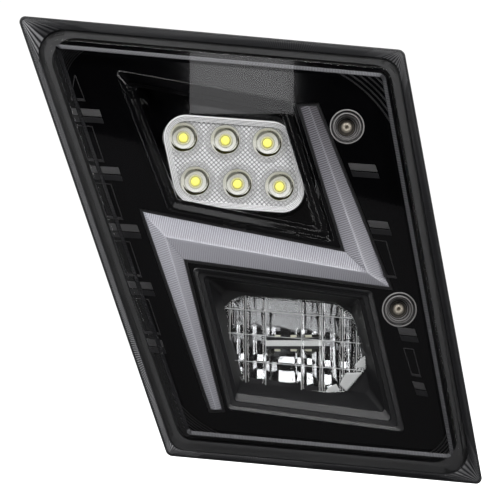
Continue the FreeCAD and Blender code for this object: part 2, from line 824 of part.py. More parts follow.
def make_adjuster_nut():
    neck = box(adjuster_centre, nut_neck, nut_neck, nut_neck_front, nut_neck_front + nut_neck_length)
    front = box(adjuster_centre, nut_size, nut_size, nut_front, nut_neck_front)
    back = box(adjuster_centre, nut_size, nut_size, nut_neck_front + nut_neck_length, nut_back)
    bore = rod(adjuster_centre, adjuster_radius + running_gap, nut_front, nut_back)
    return joined([neck, front, back]).cut(bore)


def make_adjuster_screw():
    shaft = rod(adjuster_centre, adjuster_radius, nut_front - shaft_tail, rear_face + fit_gap)
    head_front = rear_face + fit_gap
    head = rod(adjuster_centre, adjuster_head, head_front, head_front + adjuster_head_length)
    notches = []
    for i in range(adjuster_notch_count):
        turn = math.tau * i / adjuster_notch_count
        notch = shifted(adjuster_centre, (adjuster_head * math.cos(turn), adjuster_head * math.sin(turn)))
        notches.append(rod(notch, adjuster_notch, head_front, head_front + adjuster_head_length))
    socket_points = [shifted(adjuster_centre, (adjuster_socket * math.cos(math.tau * i / 6),
                                               adjuster_socket * math.sin(math.tau * i / 6)))
                     for i in range(6, 0, -1)]
    socket = plate(socket_points, 0, head_front + adjuster_socket_floor, head_front + adjuster_head_length)
    return joined([shaft, head]).cut(notches + [socket])


def make_adjuster_sleeve():
    tube = rod(adjuster_centre, sleeve_bore + sleeve_wall, sleeve_front, rear_face)
    seat = rod(adjuster_centre, ring_seat, rear_face - ring_depth, rear_face)
    return tube.cut([rod(adjuster_centre, sleeve_bore, sleeve_front, rear_face), seat])


def make_adjuster_ring():
    centre = at(adjuster_centre, rear_face - ring_depth / 2)
    return Part.makeTorus(sleeve_bore + ring_section, ring_section, centre, FreeCAD.Vector(0, 1, 0))


def make_adjuster_clip():
    clip_back = sleeve_front - fit_gap
    ring = rod(adjuster_centre, clip_radius, clip_back - clip_thickness, clip_back)
    return ring.cut(rod(adjuster_centre, adjuster_radius, clip_back - clip_thickness, clip_back))


# ---- Lower module: fluted window, reflector bowl, LED blade on a finned heat sink


def make_inner_window():
    front = bezel_front + lower_pocket_depth - window_stand
    body = plate(window, window_radius, front, window_seat)
    lip = plate(window_lip, window_radius, lower_floor_back, window_seat)
    return joined([body, lip])


def make_bowl():
    lip = plate(window_lip, window_radius, window_seat, bowl_front)
    ears = [rod(c, bowl_ear, window_seat, bowl_front) for c in bowl_screws]
    back = shrunk(window, bowl_centre, bowl_shrink)
    body = tapered(window, window_radius, window_seat, back, window_radius, bowl_back)
    mouth = inset(window, bowl_wall)
    hollow = tapered(mouth, window_radius, window_seat, inset(back, bowl_wall), window_radius / 2,
                     bowl_back - bowl_wall)
    slot = box(bowl_centre, blade_width + 2 * blade_gap,
               blade_thickness + 2 * (board_thickness + blade_gap), bowl_back - bowl_wall * 2, bowl_back)
    holes = [rod(c, small_radius + fit_gap, window_seat, bowl_front) for c in bowl_screws]
    return joined([lip, body] + ears).cut([hollow, slot] + holes)


def make_bowl_screws():
    return group([screw(c, bowl_front, bowl_screw_length, small_radius, small_head, small_head_height, -1)
                  for c in bowl_screws])


def make_lower_heat_sink():
    blade = box(bowl_centre, blade_width, blade_thickness, blade_front, sink_plate_front)
    pedestal = box(bowl_centre, sink_width, sink_height, sink_plate_front, sink_flange_front)
    brim = box(bowl_centre, sink_flange_width, sink_flange_height, sink_flange_front, sink_flange_back)
    fins = [box(shifted(bowl_centre, ((i - (rear_fin_count - 1) / 2) * rear_fin_pitch, 0)),
                rear_fin_thickness, sink_flange_height, sink_flange_back,
                sink_flange_back + rear_fin_height) for i in range(rear_fin_count)]
    holes = [rod(c, screw_radius + screw_gap, sink_flange_front, sink_flange_back)
             for c in sink_screw_centres]
    return joined([blade, pedestal, brim] + fins).cut(holes)


def make_blade_boards():
    offset = (blade_thickness + board_thickness) / 2
    return group([box(shifted(bowl_centre, (0, j * offset)), blade_board_width, board_thickness,
                      blade_front, blade_front + blade_board_length) for j in (-1, 1)])


def make_blade_leds():
    offset = blade_thickness / 2 + board_thickness + led_thickness / 2
    front = blade_front + blade_led_setback
    return group([box(shifted(bowl_centre, (i * blade_led_pitch, j * offset)), blade_led,
                      led_thickness, front, front + blade_led)
                  for j in (-1, 1) for i in (-1, 0, 1)])


def make_sink_gasket():
    outer = box(bowl_centre, sink_width + 2 * gasket_width, sink_height + 2 * gasket_width,
                rear_face, sink_flange_front)
    inner = box(bowl_centre, sink_width + 2 * fit_gap, sink_height + 2 * fit_gap,
                rear_face, sink_flange_front)
    holes = [rod(c, screw_radius + screw_gap, rear_face, sink_flange_front) for c in sink_screw_centres]
    return outer.cut([inner] + holes)


def make_sink_screws():
    return group([screw(c, sink_flange_back, sink_flange + gasket + wall + screw_grip - screw_tip_gap,
                        screw_radius, screw_head, screw_head_height, -1) for c in sink_screw_centres])


# ---- Fasteners of the bezel, the mounting studs and the spacers they stand in
def make_bezel_screws():
    seat = bezel_front + well_depth
    screws = []
    for c in bezel_screws:
        body = screw(c, seat, bezel_layer + bezel_screw_grip, bezel_screw_radius, bezel_screw_head,
                     bezel_screw_head_height, 1)
        hub_front = seat - bezel_screw_head_height
        hub = rod(c, bezel_screw_hub, hub_front - bezel_screw_hub_height, hub_front)
        screws.append(joined([body, hub]))
    return group(screws)


def make_stud_spacers():
    return group([rod(c, stud_spacer, rear_face, 0.0).cut(rod(c, stud_shank, rear_face, 0.0))
                  for c in stud_centres])


def make_studs():
    studs = []
    for c in stud_centres:
        head = rod(c, stud_head, rear_inner - stud_head_height, rear_inner)
        shank = rod(c, stud_shank, rear_inner, 0.0)
        thread = rod(c, stud_radius, 0.0, stud_length)
        studs.append(joined([head, shank, thread]))
    return group(studs)


# ---- Rear cover, vents, connector and driver board


def make_rear_cover():
    disc = rod(cover_centre, cover_radius, cover_front, cover_front + cover_plate)
    spigot = rod(cover_centre, cover_opening - screw_gap, rear_inner, cover_front)
    spigot = spigot.cut(rod(cover_centre, cover_opening - screw_gap - cover_lip, rear_inner, cover_front))
    ribs = [box(cover_centre, 2 * cover_opening, cover_rib, cover_front + cover_plate,
                cover_front + cover_plate + cover_rib),
            box(cover_centre, cover_rib, 2 * cover_opening, cover_front + cover_plate,
                cover_front + cover_plate + cover_rib)]
    holes = [rod(c, screw_radius + screw_gap, cover_front, cover_front + cover_plate)
             for c in cover_screw_centres]
    return joined([disc, spigot] + ribs).cut(holes)


def make_cover_gasket():
    inner_radius = cover_opening + fit_gap
    outer_radius = cover_screw_circle - screw_radius - screw_gap - fit_gap
    ring = rod(cover_centre, outer_radius, rear_face, cover_front)
    return ring.cut(rod(cover_centre, inner_radius, rear_face, cover_front))


def make_cover_screws():
    length = cover_plate + gasket + wall + screw_grip - screw_tip_gap
    return group([screw(c, cover_front + cover_plate, length, screw_radius, screw_head,
                        screw_head_height, -1) for c in cover_screw_centres])


def make_vents():
    caps = []
    for c in vents:
        stem = rod(c, vent_stem, rear_inner - vent_tail, rear_face)
        head = rod(c, vent_head, rear_face, rear_face + vent_head_height)
        mouth = rod(c, vent_mouth, rear_inner - vent_tail, rear_face + vent_head_height / 2)
        caps.append(joined([stem, head]).cut(mouth))
    return group(caps)


def make_connector():
    shell = box(connector_centre, connector_width, connector_height, rear_inner, socket_mouth)
    ears = box(connector_centre, connector_width + 2 * connector_flange,
               connector_height + 2 * connector_lip, socket_flange_front, socket_flange_back)
    cavity = box(connector_centre, connector_width - 2 * connector_wall,
                 connector_height - 2 * connector_wall, socket_floor, socket_mouth)
    latch_centre = shifted(connector_centre, (0, (connector_height + latch_height) / 2))
    latch = box(latch_centre, latch_width, latch_height, socket_flange_back, socket_mouth - latch_setback)
    pins = [box(p, pin_size, pin_size, rear_inner, socket_floor) for p in pin_places]
    holes = [rod(c, screw_radius + screw_gap, socket_flange_front, socket_flange_back)
             for c in connector_screw_centres]
    return joined([shell, ears, latch]).cut([cavity] + pins + holes)


def make_connector_pins():
    return group([box(p, pin_size, pin_size, driver_front - pin_tail, socket_floor + pin_reach)
                  for p in pin_places])


def make_connector_seal():
    outer = box(connector_centre, connector_width + 2 * connector_flange,
                connector_height + 2 * connector_lip, rear_face, socket_flange_front)
    inner = box(connector_centre, connector_width + 2 * fit_gap, connector_height + 2 * fit_gap,
                rear_face, socket_flange_front)
    holes = [rod(c, screw_radius + screw_gap, rear_face, socket_flange_front)
             for c in connector_screw_centres]
    return outer.cut([inner] + holes)


def make_connector_screws():
    length = connector_flange_thickness + gasket + wall + screw_grip - screw_tip_gap
    return group([screw(c, socket_flange_back, length, screw_radius, screw_head, screw_head_height, -1)
                  for c in connector_screw_centres])


def make_driver_board():
    board = box(driver_centre, driver_width, driver_height, driver_front, driver_back)
    holes = [rod(c, small_radius + fit_gap, driver_front, driver_back) for c in driver_screw_centres]
    holes += [box(p, pin_size, pin_size, driver_front, driver_back) for p in pin_places]
    return board.cut(holes)


def make_driver_screws():
    return group([screw(c, driver_front, board_thickness + driver_standoff - screw_tip_gap, small_radius,
                        small_head, small_head_height, 1) for c in driver_screw_centres])


def make_driver_parts():
    coil = box(shifted(driver_centre, coil_offset), coil_size, coil_size, driver_front - coil_height,
               driver_front)
    cans = [rod(shifted(driver_centre, step), can_radius, driver_front - can_height, driver_front)
            for step in can_offsets]
    chips = [box(shifted(driver_centre, step), chip_size, chip_size, driver_front - chip_height, driver_front)
             for step in chip_offsets]
    return group([coil] + cans + chips)


pieces = {
    "housing": make_housing(),
    "lens_seal": make_lens_seal(),
    "outer_lens": make_outer_lens(),
    "main_bezel": make_main_bezel(),
    "bezel_screws": make_bezel_screws(),
    "upper_pocket": make_upper_pocket(),
    "lower_pocket": make_lower_pocket(),
    "light_guide": make_light_guide(),
    "guide_tray": make_guide_tray(),
    "drl_board": make_drl_board(),
    "drl_leds": group([box(c, drl_led, drl_led, drl_board_front - led_thickness, drl_board_front)
                       for c in drl_led_centres]),
    "drl_board_screws": group([screw(c, drl_board_front, board_thickness + tray_screw_bite, small_radius,
                                     small_head, small_head_height, 1) for c in drl_screw_centres]),
    "module_cover": make_module_cover(),
    "module_reflector": make_module_reflector(),
    "module_board": make_module_board(),
    "module_leds": make_module_leds(),
    "led_phosphors": make_phosphors(),
    "led_domes": make_led_domes(),
    "module_board_screws": make_board_screws(),
    "module_thermal_pad": make_thermal_pad(),
    "module_heat_sink": make_module_heat_sink(),
    "module_frame": make_module_frame(),
    "pivot_bracket_left": make_bracket(*bracket_sides[0]),
    "pivot_bracket_right": make_bracket(*bracket_sides[1]),
    "pivot_bushes": make_bushes(),
    "bracket_screws": make_foot_screws(),
    "adjuster_screw": make_adjuster_screw(),
    "adjuster_clip": make_adjuster_clip(),
    "adjuster_nut": make_adjuster_nut(),
    "adjuster_sleeve": make_adjuster_sleeve(),
    "adjuster_ring": make_adjuster_ring(),
    "lower_window": make_inner_window(),
    "lower_reflector": make_bowl(),
    "reflector_screws": make_bowl_screws(),
    "blade_boards": make_blade_boards(),
    "blade_leds": make_blade_leds(),
    "lower_heat_sink": make_lower_heat_sink(),
    "heat_sink_gasket": make_sink_gasket(),
    "heat_sink_screws": make_sink_screws(),
    "rear_cover": make_rear_cover(),
    "cover_gasket": make_cover_gasket(),
    "cover_screws": make_cover_screws(),
    "vent_caps": make_vents(),
    "connector_socket": make_connector(),
    "connector_pins": make_connector_pins(),
    "connector_seal": make_connector_seal(),
    "connector_screws": make_connector_screws(),
    "driver_board": make_driver_board(),
    "driver_parts": make_driver_parts(),
    "driver_screws": make_driver_screws(),
    "mounting_studs": make_studs(),
    "stud_spacers": make_stud_spacers(),
}

os.makedirs("parts", exist_ok=True)
for name, shape in pieces.items():
    shape.exportStep("parts/" + name + ".step")
    print(name, len(shape.Solids), round(shape.Volume, 1), shape.isValid())
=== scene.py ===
import bpy
import json
import math
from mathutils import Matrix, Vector

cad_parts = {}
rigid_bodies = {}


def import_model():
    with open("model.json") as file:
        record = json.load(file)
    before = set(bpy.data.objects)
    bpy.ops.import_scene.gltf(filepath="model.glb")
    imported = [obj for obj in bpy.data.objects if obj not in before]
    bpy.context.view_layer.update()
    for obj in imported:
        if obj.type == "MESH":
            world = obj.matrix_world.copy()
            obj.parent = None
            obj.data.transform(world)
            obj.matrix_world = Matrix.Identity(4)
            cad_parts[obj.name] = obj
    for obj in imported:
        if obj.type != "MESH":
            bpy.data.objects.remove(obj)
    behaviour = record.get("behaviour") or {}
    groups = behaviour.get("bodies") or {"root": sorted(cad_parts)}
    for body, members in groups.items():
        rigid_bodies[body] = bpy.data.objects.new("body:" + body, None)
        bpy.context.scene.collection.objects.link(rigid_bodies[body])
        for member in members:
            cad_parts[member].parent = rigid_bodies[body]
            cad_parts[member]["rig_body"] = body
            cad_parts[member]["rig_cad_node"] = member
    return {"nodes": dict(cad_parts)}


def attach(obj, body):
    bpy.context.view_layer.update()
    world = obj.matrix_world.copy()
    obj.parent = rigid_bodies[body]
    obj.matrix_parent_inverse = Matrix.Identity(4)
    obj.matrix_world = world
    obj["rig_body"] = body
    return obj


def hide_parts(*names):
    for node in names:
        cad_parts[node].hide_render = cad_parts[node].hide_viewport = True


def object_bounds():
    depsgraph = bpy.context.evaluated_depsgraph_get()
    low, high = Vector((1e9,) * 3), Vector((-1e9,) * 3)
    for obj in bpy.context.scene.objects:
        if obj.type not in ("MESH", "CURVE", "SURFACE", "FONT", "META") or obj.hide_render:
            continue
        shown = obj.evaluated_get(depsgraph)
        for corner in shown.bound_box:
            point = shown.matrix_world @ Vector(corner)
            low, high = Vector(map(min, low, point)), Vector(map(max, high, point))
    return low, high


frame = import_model()
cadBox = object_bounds()
mm = 0.001
print("frame loaded")


# small helpers for outlines, all in millimetres seen from the front as (x, z)
def shifted(point, dx, dz):
    return (point[0] + dx, point[1] + dz)


def beside(a, b, amount):
    length = math.dist(a, b)
    dx, dz = (b[1] - a[1]) / length * amount, (a[0] - b[0]) / length * amount
    return shifted(a, dx, dz), shifted(b, dx, dz)


def crossing(a, b, c, d):
    ux, uz, vx, vz = b[0] - a[0], b[1] - a[1], d[0] - c[0], d[1] - c[1]
    share = ((c[0] - a[0]) * vz - (c[1] - a[1]) * vx) / (ux * vz - uz * vx)
    return (a[0] + share * ux, a[1] + share * uz)


def inset(corners, amounts):
    count = len(corners)
    if not isinstance(amounts, (list, tuple)):
        amounts = [amounts] * count
    sides = [beside(corners[i], corners[(i + 1) % count], amounts[i]) for i in range(count)]
    return [crossing(*sides[i - 1], *sides[i]) for i in range(count)]


def rounded(corners, rounds, steps=6, fills=0):
    # an outline with an arc at each corner, and extra points along each straight side
    count = len(corners)
    if not isinstance(rounds, (list, tuple)):
        rounds = [rounds] * count
    if not isinstance(fills, (list, tuple)):
        fills = [fills] * count
    arcs = []
    for i, here in enumerate(corners):
        tip = Vector(here)
        toBefore = (Vector(corners[i - 1]) - tip).normalized()
        toAfter = (Vector(corners[(i + 1) % count]) - tip).normalized()
        half = toBefore.angle(toAfter) / 2
        centre = tip + (toBefore + toAfter).normalized() * (rounds[i] / math.sin(half))
        start = tip + toBefore * (rounds[i] / math.tan(half)) - centre
        end = tip + toAfter * (rounds[i] / math.tan(half)) - centre
        turn = math.atan2(start.x * end.y - start.y * end.x, start.dot(end))
        first = math.atan2(start.y, start.x)
        arcs.append([(centre.x + rounds[i] * math.cos(first + turn * k / steps),
                      centre.y + rounds[i] * math.sin(first + turn * k / steps)) for k in range(steps + 1)])
    points = []
    for i, arc in enumerate(arcs):
        points += arc
        a, b = arc[-1], arcs[(i + 1) % count][0]
        for k in range(1, fills[i] + 1):
            share = k / (fills[i] + 1)
            points.append((a[0] + (b[0] - a[0]) * share, a[1] + (b[1] - a[1]) * share))
    return points


def circle(centre, radius, steps=48):
    return [(centre[0] + radius * math.cos(math.tau * k / steps),
             centre[1] + radius * math.sin(math.tau * k / steps)) for k in range(steps)]


# modelling helpers
def deselectAll():
    if bpy.context.mode != "OBJECT":
        bpy.ops.object.mode_set(mode="OBJECT")
    bpy.ops.object.select_all(action="DESELECT")


def pick(*pieces):
    deselectAll()
    for piece in pieces:
        piece.select_set(True)
    bpy.context.view_layer.objects.active = pieces[0]


def key(spot):
    return (round(spot[0], 7), round(spot[1], 7), round(spot[2], 7))


def spots(level):
    points, depth = level
    depths = depth if isinstance(depth, list) else [depth] * len(points)
    return [Vector((x * mm, y * mm, z * mm)) for (x, z), y in zip(points, depths)]


def skin(name, levels, ends="caps"):
    # runs an outline through levels of (points, depth); ends are caps, open or ring
    deselectAll()
    bpy.ops.mesh.primitive_circle_add(vertices=len(levels[0][0]), radius=0.01, fill_type="NOTHING")
    piece = bpy.context.object
    piece.name = piece.data.name = name
    places = spots(levels[0])
    for vertex, place in zip(piece.data.vertices, places):
        vertex.co = place
    if ends == "ring":
        levels = levels + levels[:1]
    for level in levels[1:]:
        order = {key(place): index for index, place in enumerate(places)}
        bpy.ops.object.mode_set(mode="EDIT")
        bpy.ops.mesh.extrude_region_move(TRANSFORM_OT_translate={"value": (0, 0, 0)})
        bpy.ops.object.mode_set(mode="OBJECT")
        places = spots(level)
        for vertex in piece.data.vertices:
            if vertex.select:
                vertex.co = places[order[key(vertex.co)]]
    bpy.ops.object.mode_set(mode="EDIT")
    if ends == "caps":
        bpy.ops.mesh.edge_face_add()
        bpy.ops.mesh.select_all(action="DESELECT")
        bpy.ops.object.mode_set(mode="OBJECT")
        for vertex in piece.data.vertices[:len(levels[0][0])]:
            vertex.select = True
        bpy.ops.object.mode_set(mode="EDIT")
        bpy.ops.mesh.edge_face_add()
    bpy.ops.mesh.select_all(action="SELECT")
    bpy.ops.mesh.remove_doubles(threshold=1e-6)
    bpy.ops.mesh.normals_make_consistent(inside=False)
    bpy.ops.object.mode_set(mode="OBJECT")
    return piece


def plate(name, points, front, back):
    return skin(name, [(points, back), (points, front)])


def joined(name, pieces):
    pick(*pieces)
    if len(pieces) > 1:
        bpy.ops.object.join()
    pieces[0].name = pieces[0].data.name = name
    return pieces[0]


def applied(piece, kind, **settings):
    pick(piece)
    modifier = piece.modifiers.new(kind.title(), kind)
    for setting, value in settings.items():
        setattr(modifier, setting, value)
    bpy.ops.object.modifier_apply(modifier=modifier.name)
    return piece


def combined(piece, others, operation):
    for other in others:
        applied(piece, "BOOLEAN", operation=operation, solver="EXACT", object=other)
    for other in others:
        bpy.data.objects.remove(other)
    return piece


def softened(piece, width, segments=2, angle=35, smooth=40):
    applied(piece, "BEVEL", width=width * mm, segments=segments, limit_method="ANGLE",
            angle_limit=math.radians(angle), use_clamp_overlap=True, harden_normals=False)
    pick(piece)
    bpy.ops.object.shade_smooth_by_angle(angle=math.radians(smooth))
    applied(piece, "WEIGHTED_NORMAL", mode="FACE_AREA", weight=90, keep_sharp=True)
    return piece


def smoothed(piece, smooth=40):
    pick(piece)
    bpy.ops.object.shade_smooth_by_angle(angle=math.radians(smooth))
    return piece


def toned(piece, toneAt):
    # notes how light each point is painted: painted shade and painted highlights for the finishes whose
    # colour follows the ribs
    layer = piece.data.attributes.new("paintedLightTone", "FLOAT", "POINT")
    for vertex, entry in zip(piece.data.vertices, layer.data):
        entry.value = toneAt(vertex.co / mm)
    return piece


def dressed(piece, material, slot, body, *nodes):
    # gives the piece its finish and the body it rides on, and hides the CAD nodes it stands for
    piece.data.materials.clear()
    piece.data.materials.append(material)
    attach(piece, body)
    if nodes:
        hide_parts(*nodes)
    return piece


# node groups shared by the finishes
def newGroup(name, inputs, outputs):
    group = bpy.data.node_groups.new(name, "ShaderNodeTree")
    for label, default in inputs:
        socket = group.interface.new_socket(name=label, in_out="INPUT", socket_type="NodeSocketFloat")
        socket.default_value = default
    for label in outputs:
        group.interface.new_socket(name=label, in_out="OUTPUT", socket_type="NodeSocketFloat")
    start = group.nodes.new("NodeGroupInput")
    end = group.nodes.new("NodeGroupOutput")
    return group, start, end


def addNode(tree, kind, x=0, y=0, **settings):
    node = tree.nodes.new(kind)
    node.location = (x, y)
    for setting, value in settings.items():
        setattr(node, setting, value)
    return node


def mathNode(tree, operation, a, b=None, clamp=False):
    node = addNode(tree, "ShaderNodeMath", operation=operation, use_clamp=clamp)
    for index, value in enumerate((a, b)):
        if value is None:
            continue
        if isinstance(value, (int, float)):
            node.inputs[index].default_value = value
        else:
            tree.links.new(value, node.inputs[index])
    return node.outputs[0]


def mouldGrainGroup():
    # moulded surface: fine grain for the bump, cloudy gloss, and thin handling scratches
    group, start, end = newGroup("mouldGrain", [("Grain scale", 900.0), ("Cloud scale", 25.0),
                                                ("Base roughness", 0.3), ("Spread", 0.1),
                                                ("Scratches", 0.3)], ["Roughness", "Height", "Tone"])
    links = group.links
    coords = addNode(group, "ShaderNodeTexCoord")
    grain = addNode(group, "ShaderNodeTexNoise")
    grain.inputs["Detail"].default_value = 3.0
    cloud = addNode(group, "ShaderNodeTexNoise")
    cloud.inputs["Detail"].default_value = 5.0
    stretch = addNode(group, "ShaderNodeMapping")
    stretch.inputs["Scale"].default_value = (60.0, 1400.0, 900.0)
    stretch.inputs["Rotation"].default_value = (0.3, 0.9, 0.5)
    marks = addNode(group, "ShaderNodeTexNoise")
    marks.inputs["Scale"].default_value = 1.0
    links.new(coords.outputs["Object"], grain.inputs["Vector"])
    links.new(coords.outputs["Object"], cloud.inputs["Vector"])
    links.new(coords.outputs["Object"], stretch.inputs["Vector"])
    links.new(stretch.outputs["Vector"], marks.inputs["Vector"])
    links.new(start.outputs["Grain scale"], grain.inputs["Scale"])
    links.new(start.outputs["Cloud scale"], cloud.inputs["Scale"])
    scratch = mathNode(group, "SUBTRACT", marks.outputs["Fac"], 0.66)
    scratch = mathNode(group, "MULTIPLY", scratch, 9.0, clamp=True)
    scratch = mathNode(group, "MULTIPLY", scratch, start.outputs["Scratches"])
    haze = mathNode(group, "SUBTRACT", cloud.outputs["Fac"], 0.5)
    haze = mathNode(group, "MULTIPLY", haze, start.outputs["Spread"])
    rough = mathNode(group, "ADD", start.outputs["Base roughness"], haze)
    rough = mathNode(group, "ADD", rough, mathNode(group, "MULTIPLY", scratch, 0.25), clamp=True)
    height = mathNode(group, "SUBTRACT", grain.outputs["Fac"], mathNode(group, "MULTIPLY", scratch, 0.5))
    links.new(rough, end.inputs["Roughness"])
    links.new(height, end.inputs["Height"])
    links.new(cloud.outputs["Fac"], end.inputs["Tone"])
    return group


mouldGrain = mouldGrainGroup()


def newMaterial(name):
    material = bpy.data.materials.new(name)
    material.use_nodes = True
    tree = material.node_tree
    return material, tree, tree.nodes["Principled BSDF"]


def mouldedFinish(name, dark, light, rough, spread=0.1, metallic=0.0, grain=900.0, depth=0.02,
                  cloud=25.0, scratches=0.3, coat=0.0, specular=0.5, follow=None, glow=None):
    material, tree, shader = newMaterial(name)
    surface = addNode(tree, "ShaderNodeGroup", -500, 0, node_tree=mouldGrain)
    surface.inputs["Grain scale"].default_value = grain
    surface.inputs["Cloud scale"].default_value = cloud
    surface.inputs["Base roughness"].default_value = rough
    surface.inputs["Spread"].default_value = spread
    surface.inputs["Scratches"].default_value = scratches
    tint = addNode(tree, "ShaderNodeMix", -250, 200, data_type="RGBA")
    tint.inputs["A"].default_value = (*dark, 1)
    tint.inputs["B"].default_value = (*light, 1)
    bump = addNode(tree, "ShaderNodeBump", -250, -250)
    bump.inputs["Strength"].default_value = 0.6
    bump.inputs["Distance"].default_value = depth * mm
    tone = surface.outputs["Tone"]
    if follow:
        # painted light: the colour follows a per-point tone that holds painted shade and painted highlights
        ribs = addNode(tree, "ShaderNodeAttribute", -700, 250, attribute_name=follow)
        haze = mathNode(tree, "MULTIPLY", surface.outputs["Tone"], 0.2)
        haze = mathNode(tree, "ADD", haze, 0.9)
        tone = mathNode(tree, "MULTIPLY", ribs.outputs["Fac"], haze, clamp=True)
    if glow:
        shader.inputs["Emission Color"].default_value = (*glow, 1)
        shader.inputs["Emission Strength"].default_value = 1.0
    tree.links.new(tone, tint.inputs["Factor"])
    tree.links.new(surface.outputs["Height"], bump.inputs["Height"])
    tree.links.new(tint.outputs["Result"], shader.inputs["Base Color"])
    tree.links.new(surface.outputs["Roughness"], shader.inputs["Roughness"])
    tree.links.new(bump.outputs["Normal"], shader.inputs["Normal"])
    shader.inputs["Metallic"].default_value = metallic
    shader.inputs["Specular IOR Level"].default_value = specular
    shader.inputs["Coat Weight"].default_value = coat
    shader.inputs["Coat Roughness"].default_value = 0.05
    return material


def clearFinish(name, ior, rough, tint=(1, 1, 1), most=1.0):
    # thin clear plastic: it reflects by Fresnel and lets everything else through
    material, tree, shader = newMaterial(name)
    surface = addNode(tree, "ShaderNodeGroup", -700, 0, node_tree=mouldGrain)
    surface.inputs["Grain scale"].default_value = 300.0
    surface.inputs["Base roughness"].default_value = rough
    surface.inputs["Spread"].default_value = 0.02
    surface.inputs["Scratches"].default_value = 0.1
    shader.inputs["Base Color"].default_value = (*tint, 1)
    shader.inputs["Metallic"].default_value = 1.0
    tree.links.new(surface.outputs["Roughness"], shader.inputs["Roughness"])
    bump = addNode(tree, "ShaderNodeBump", -450, -250)
    bump.inputs["Strength"].default_value = 0.15
    bump.inputs["Distance"].default_value = 0.004 * mm
    tree.links.new(surface.outputs["Height"], bump.inputs["Height"])
    tree.links.new(bump.outputs["Normal"], shader.inputs["Normal"])
    through = addNode(tree, "ShaderNodeBsdfTransparent", 0, 200)
    through.inputs["Color"].default_value = (*tint, 1)
    fresnel = addNode(tree, "ShaderNodeFresnel", -200, 350)
    fresnel.inputs["IOR"].default_value = ior
    share = mathNode(tree, "MINIMUM", fresnel.outputs[0], most)
    mix = addNode(tree, "ShaderNodeMixShader", 250, 150)
    tree.links.new(share, mix.inputs[0])
    tree.links.new(through.outputs[0], mix.inputs[1])
    tree.links.new(shader.outputs[0], mix.inputs[2])
    tree.links.new(mix.outputs[0], tree.nodes["Material Output"].inputs["Surface"])
    return material


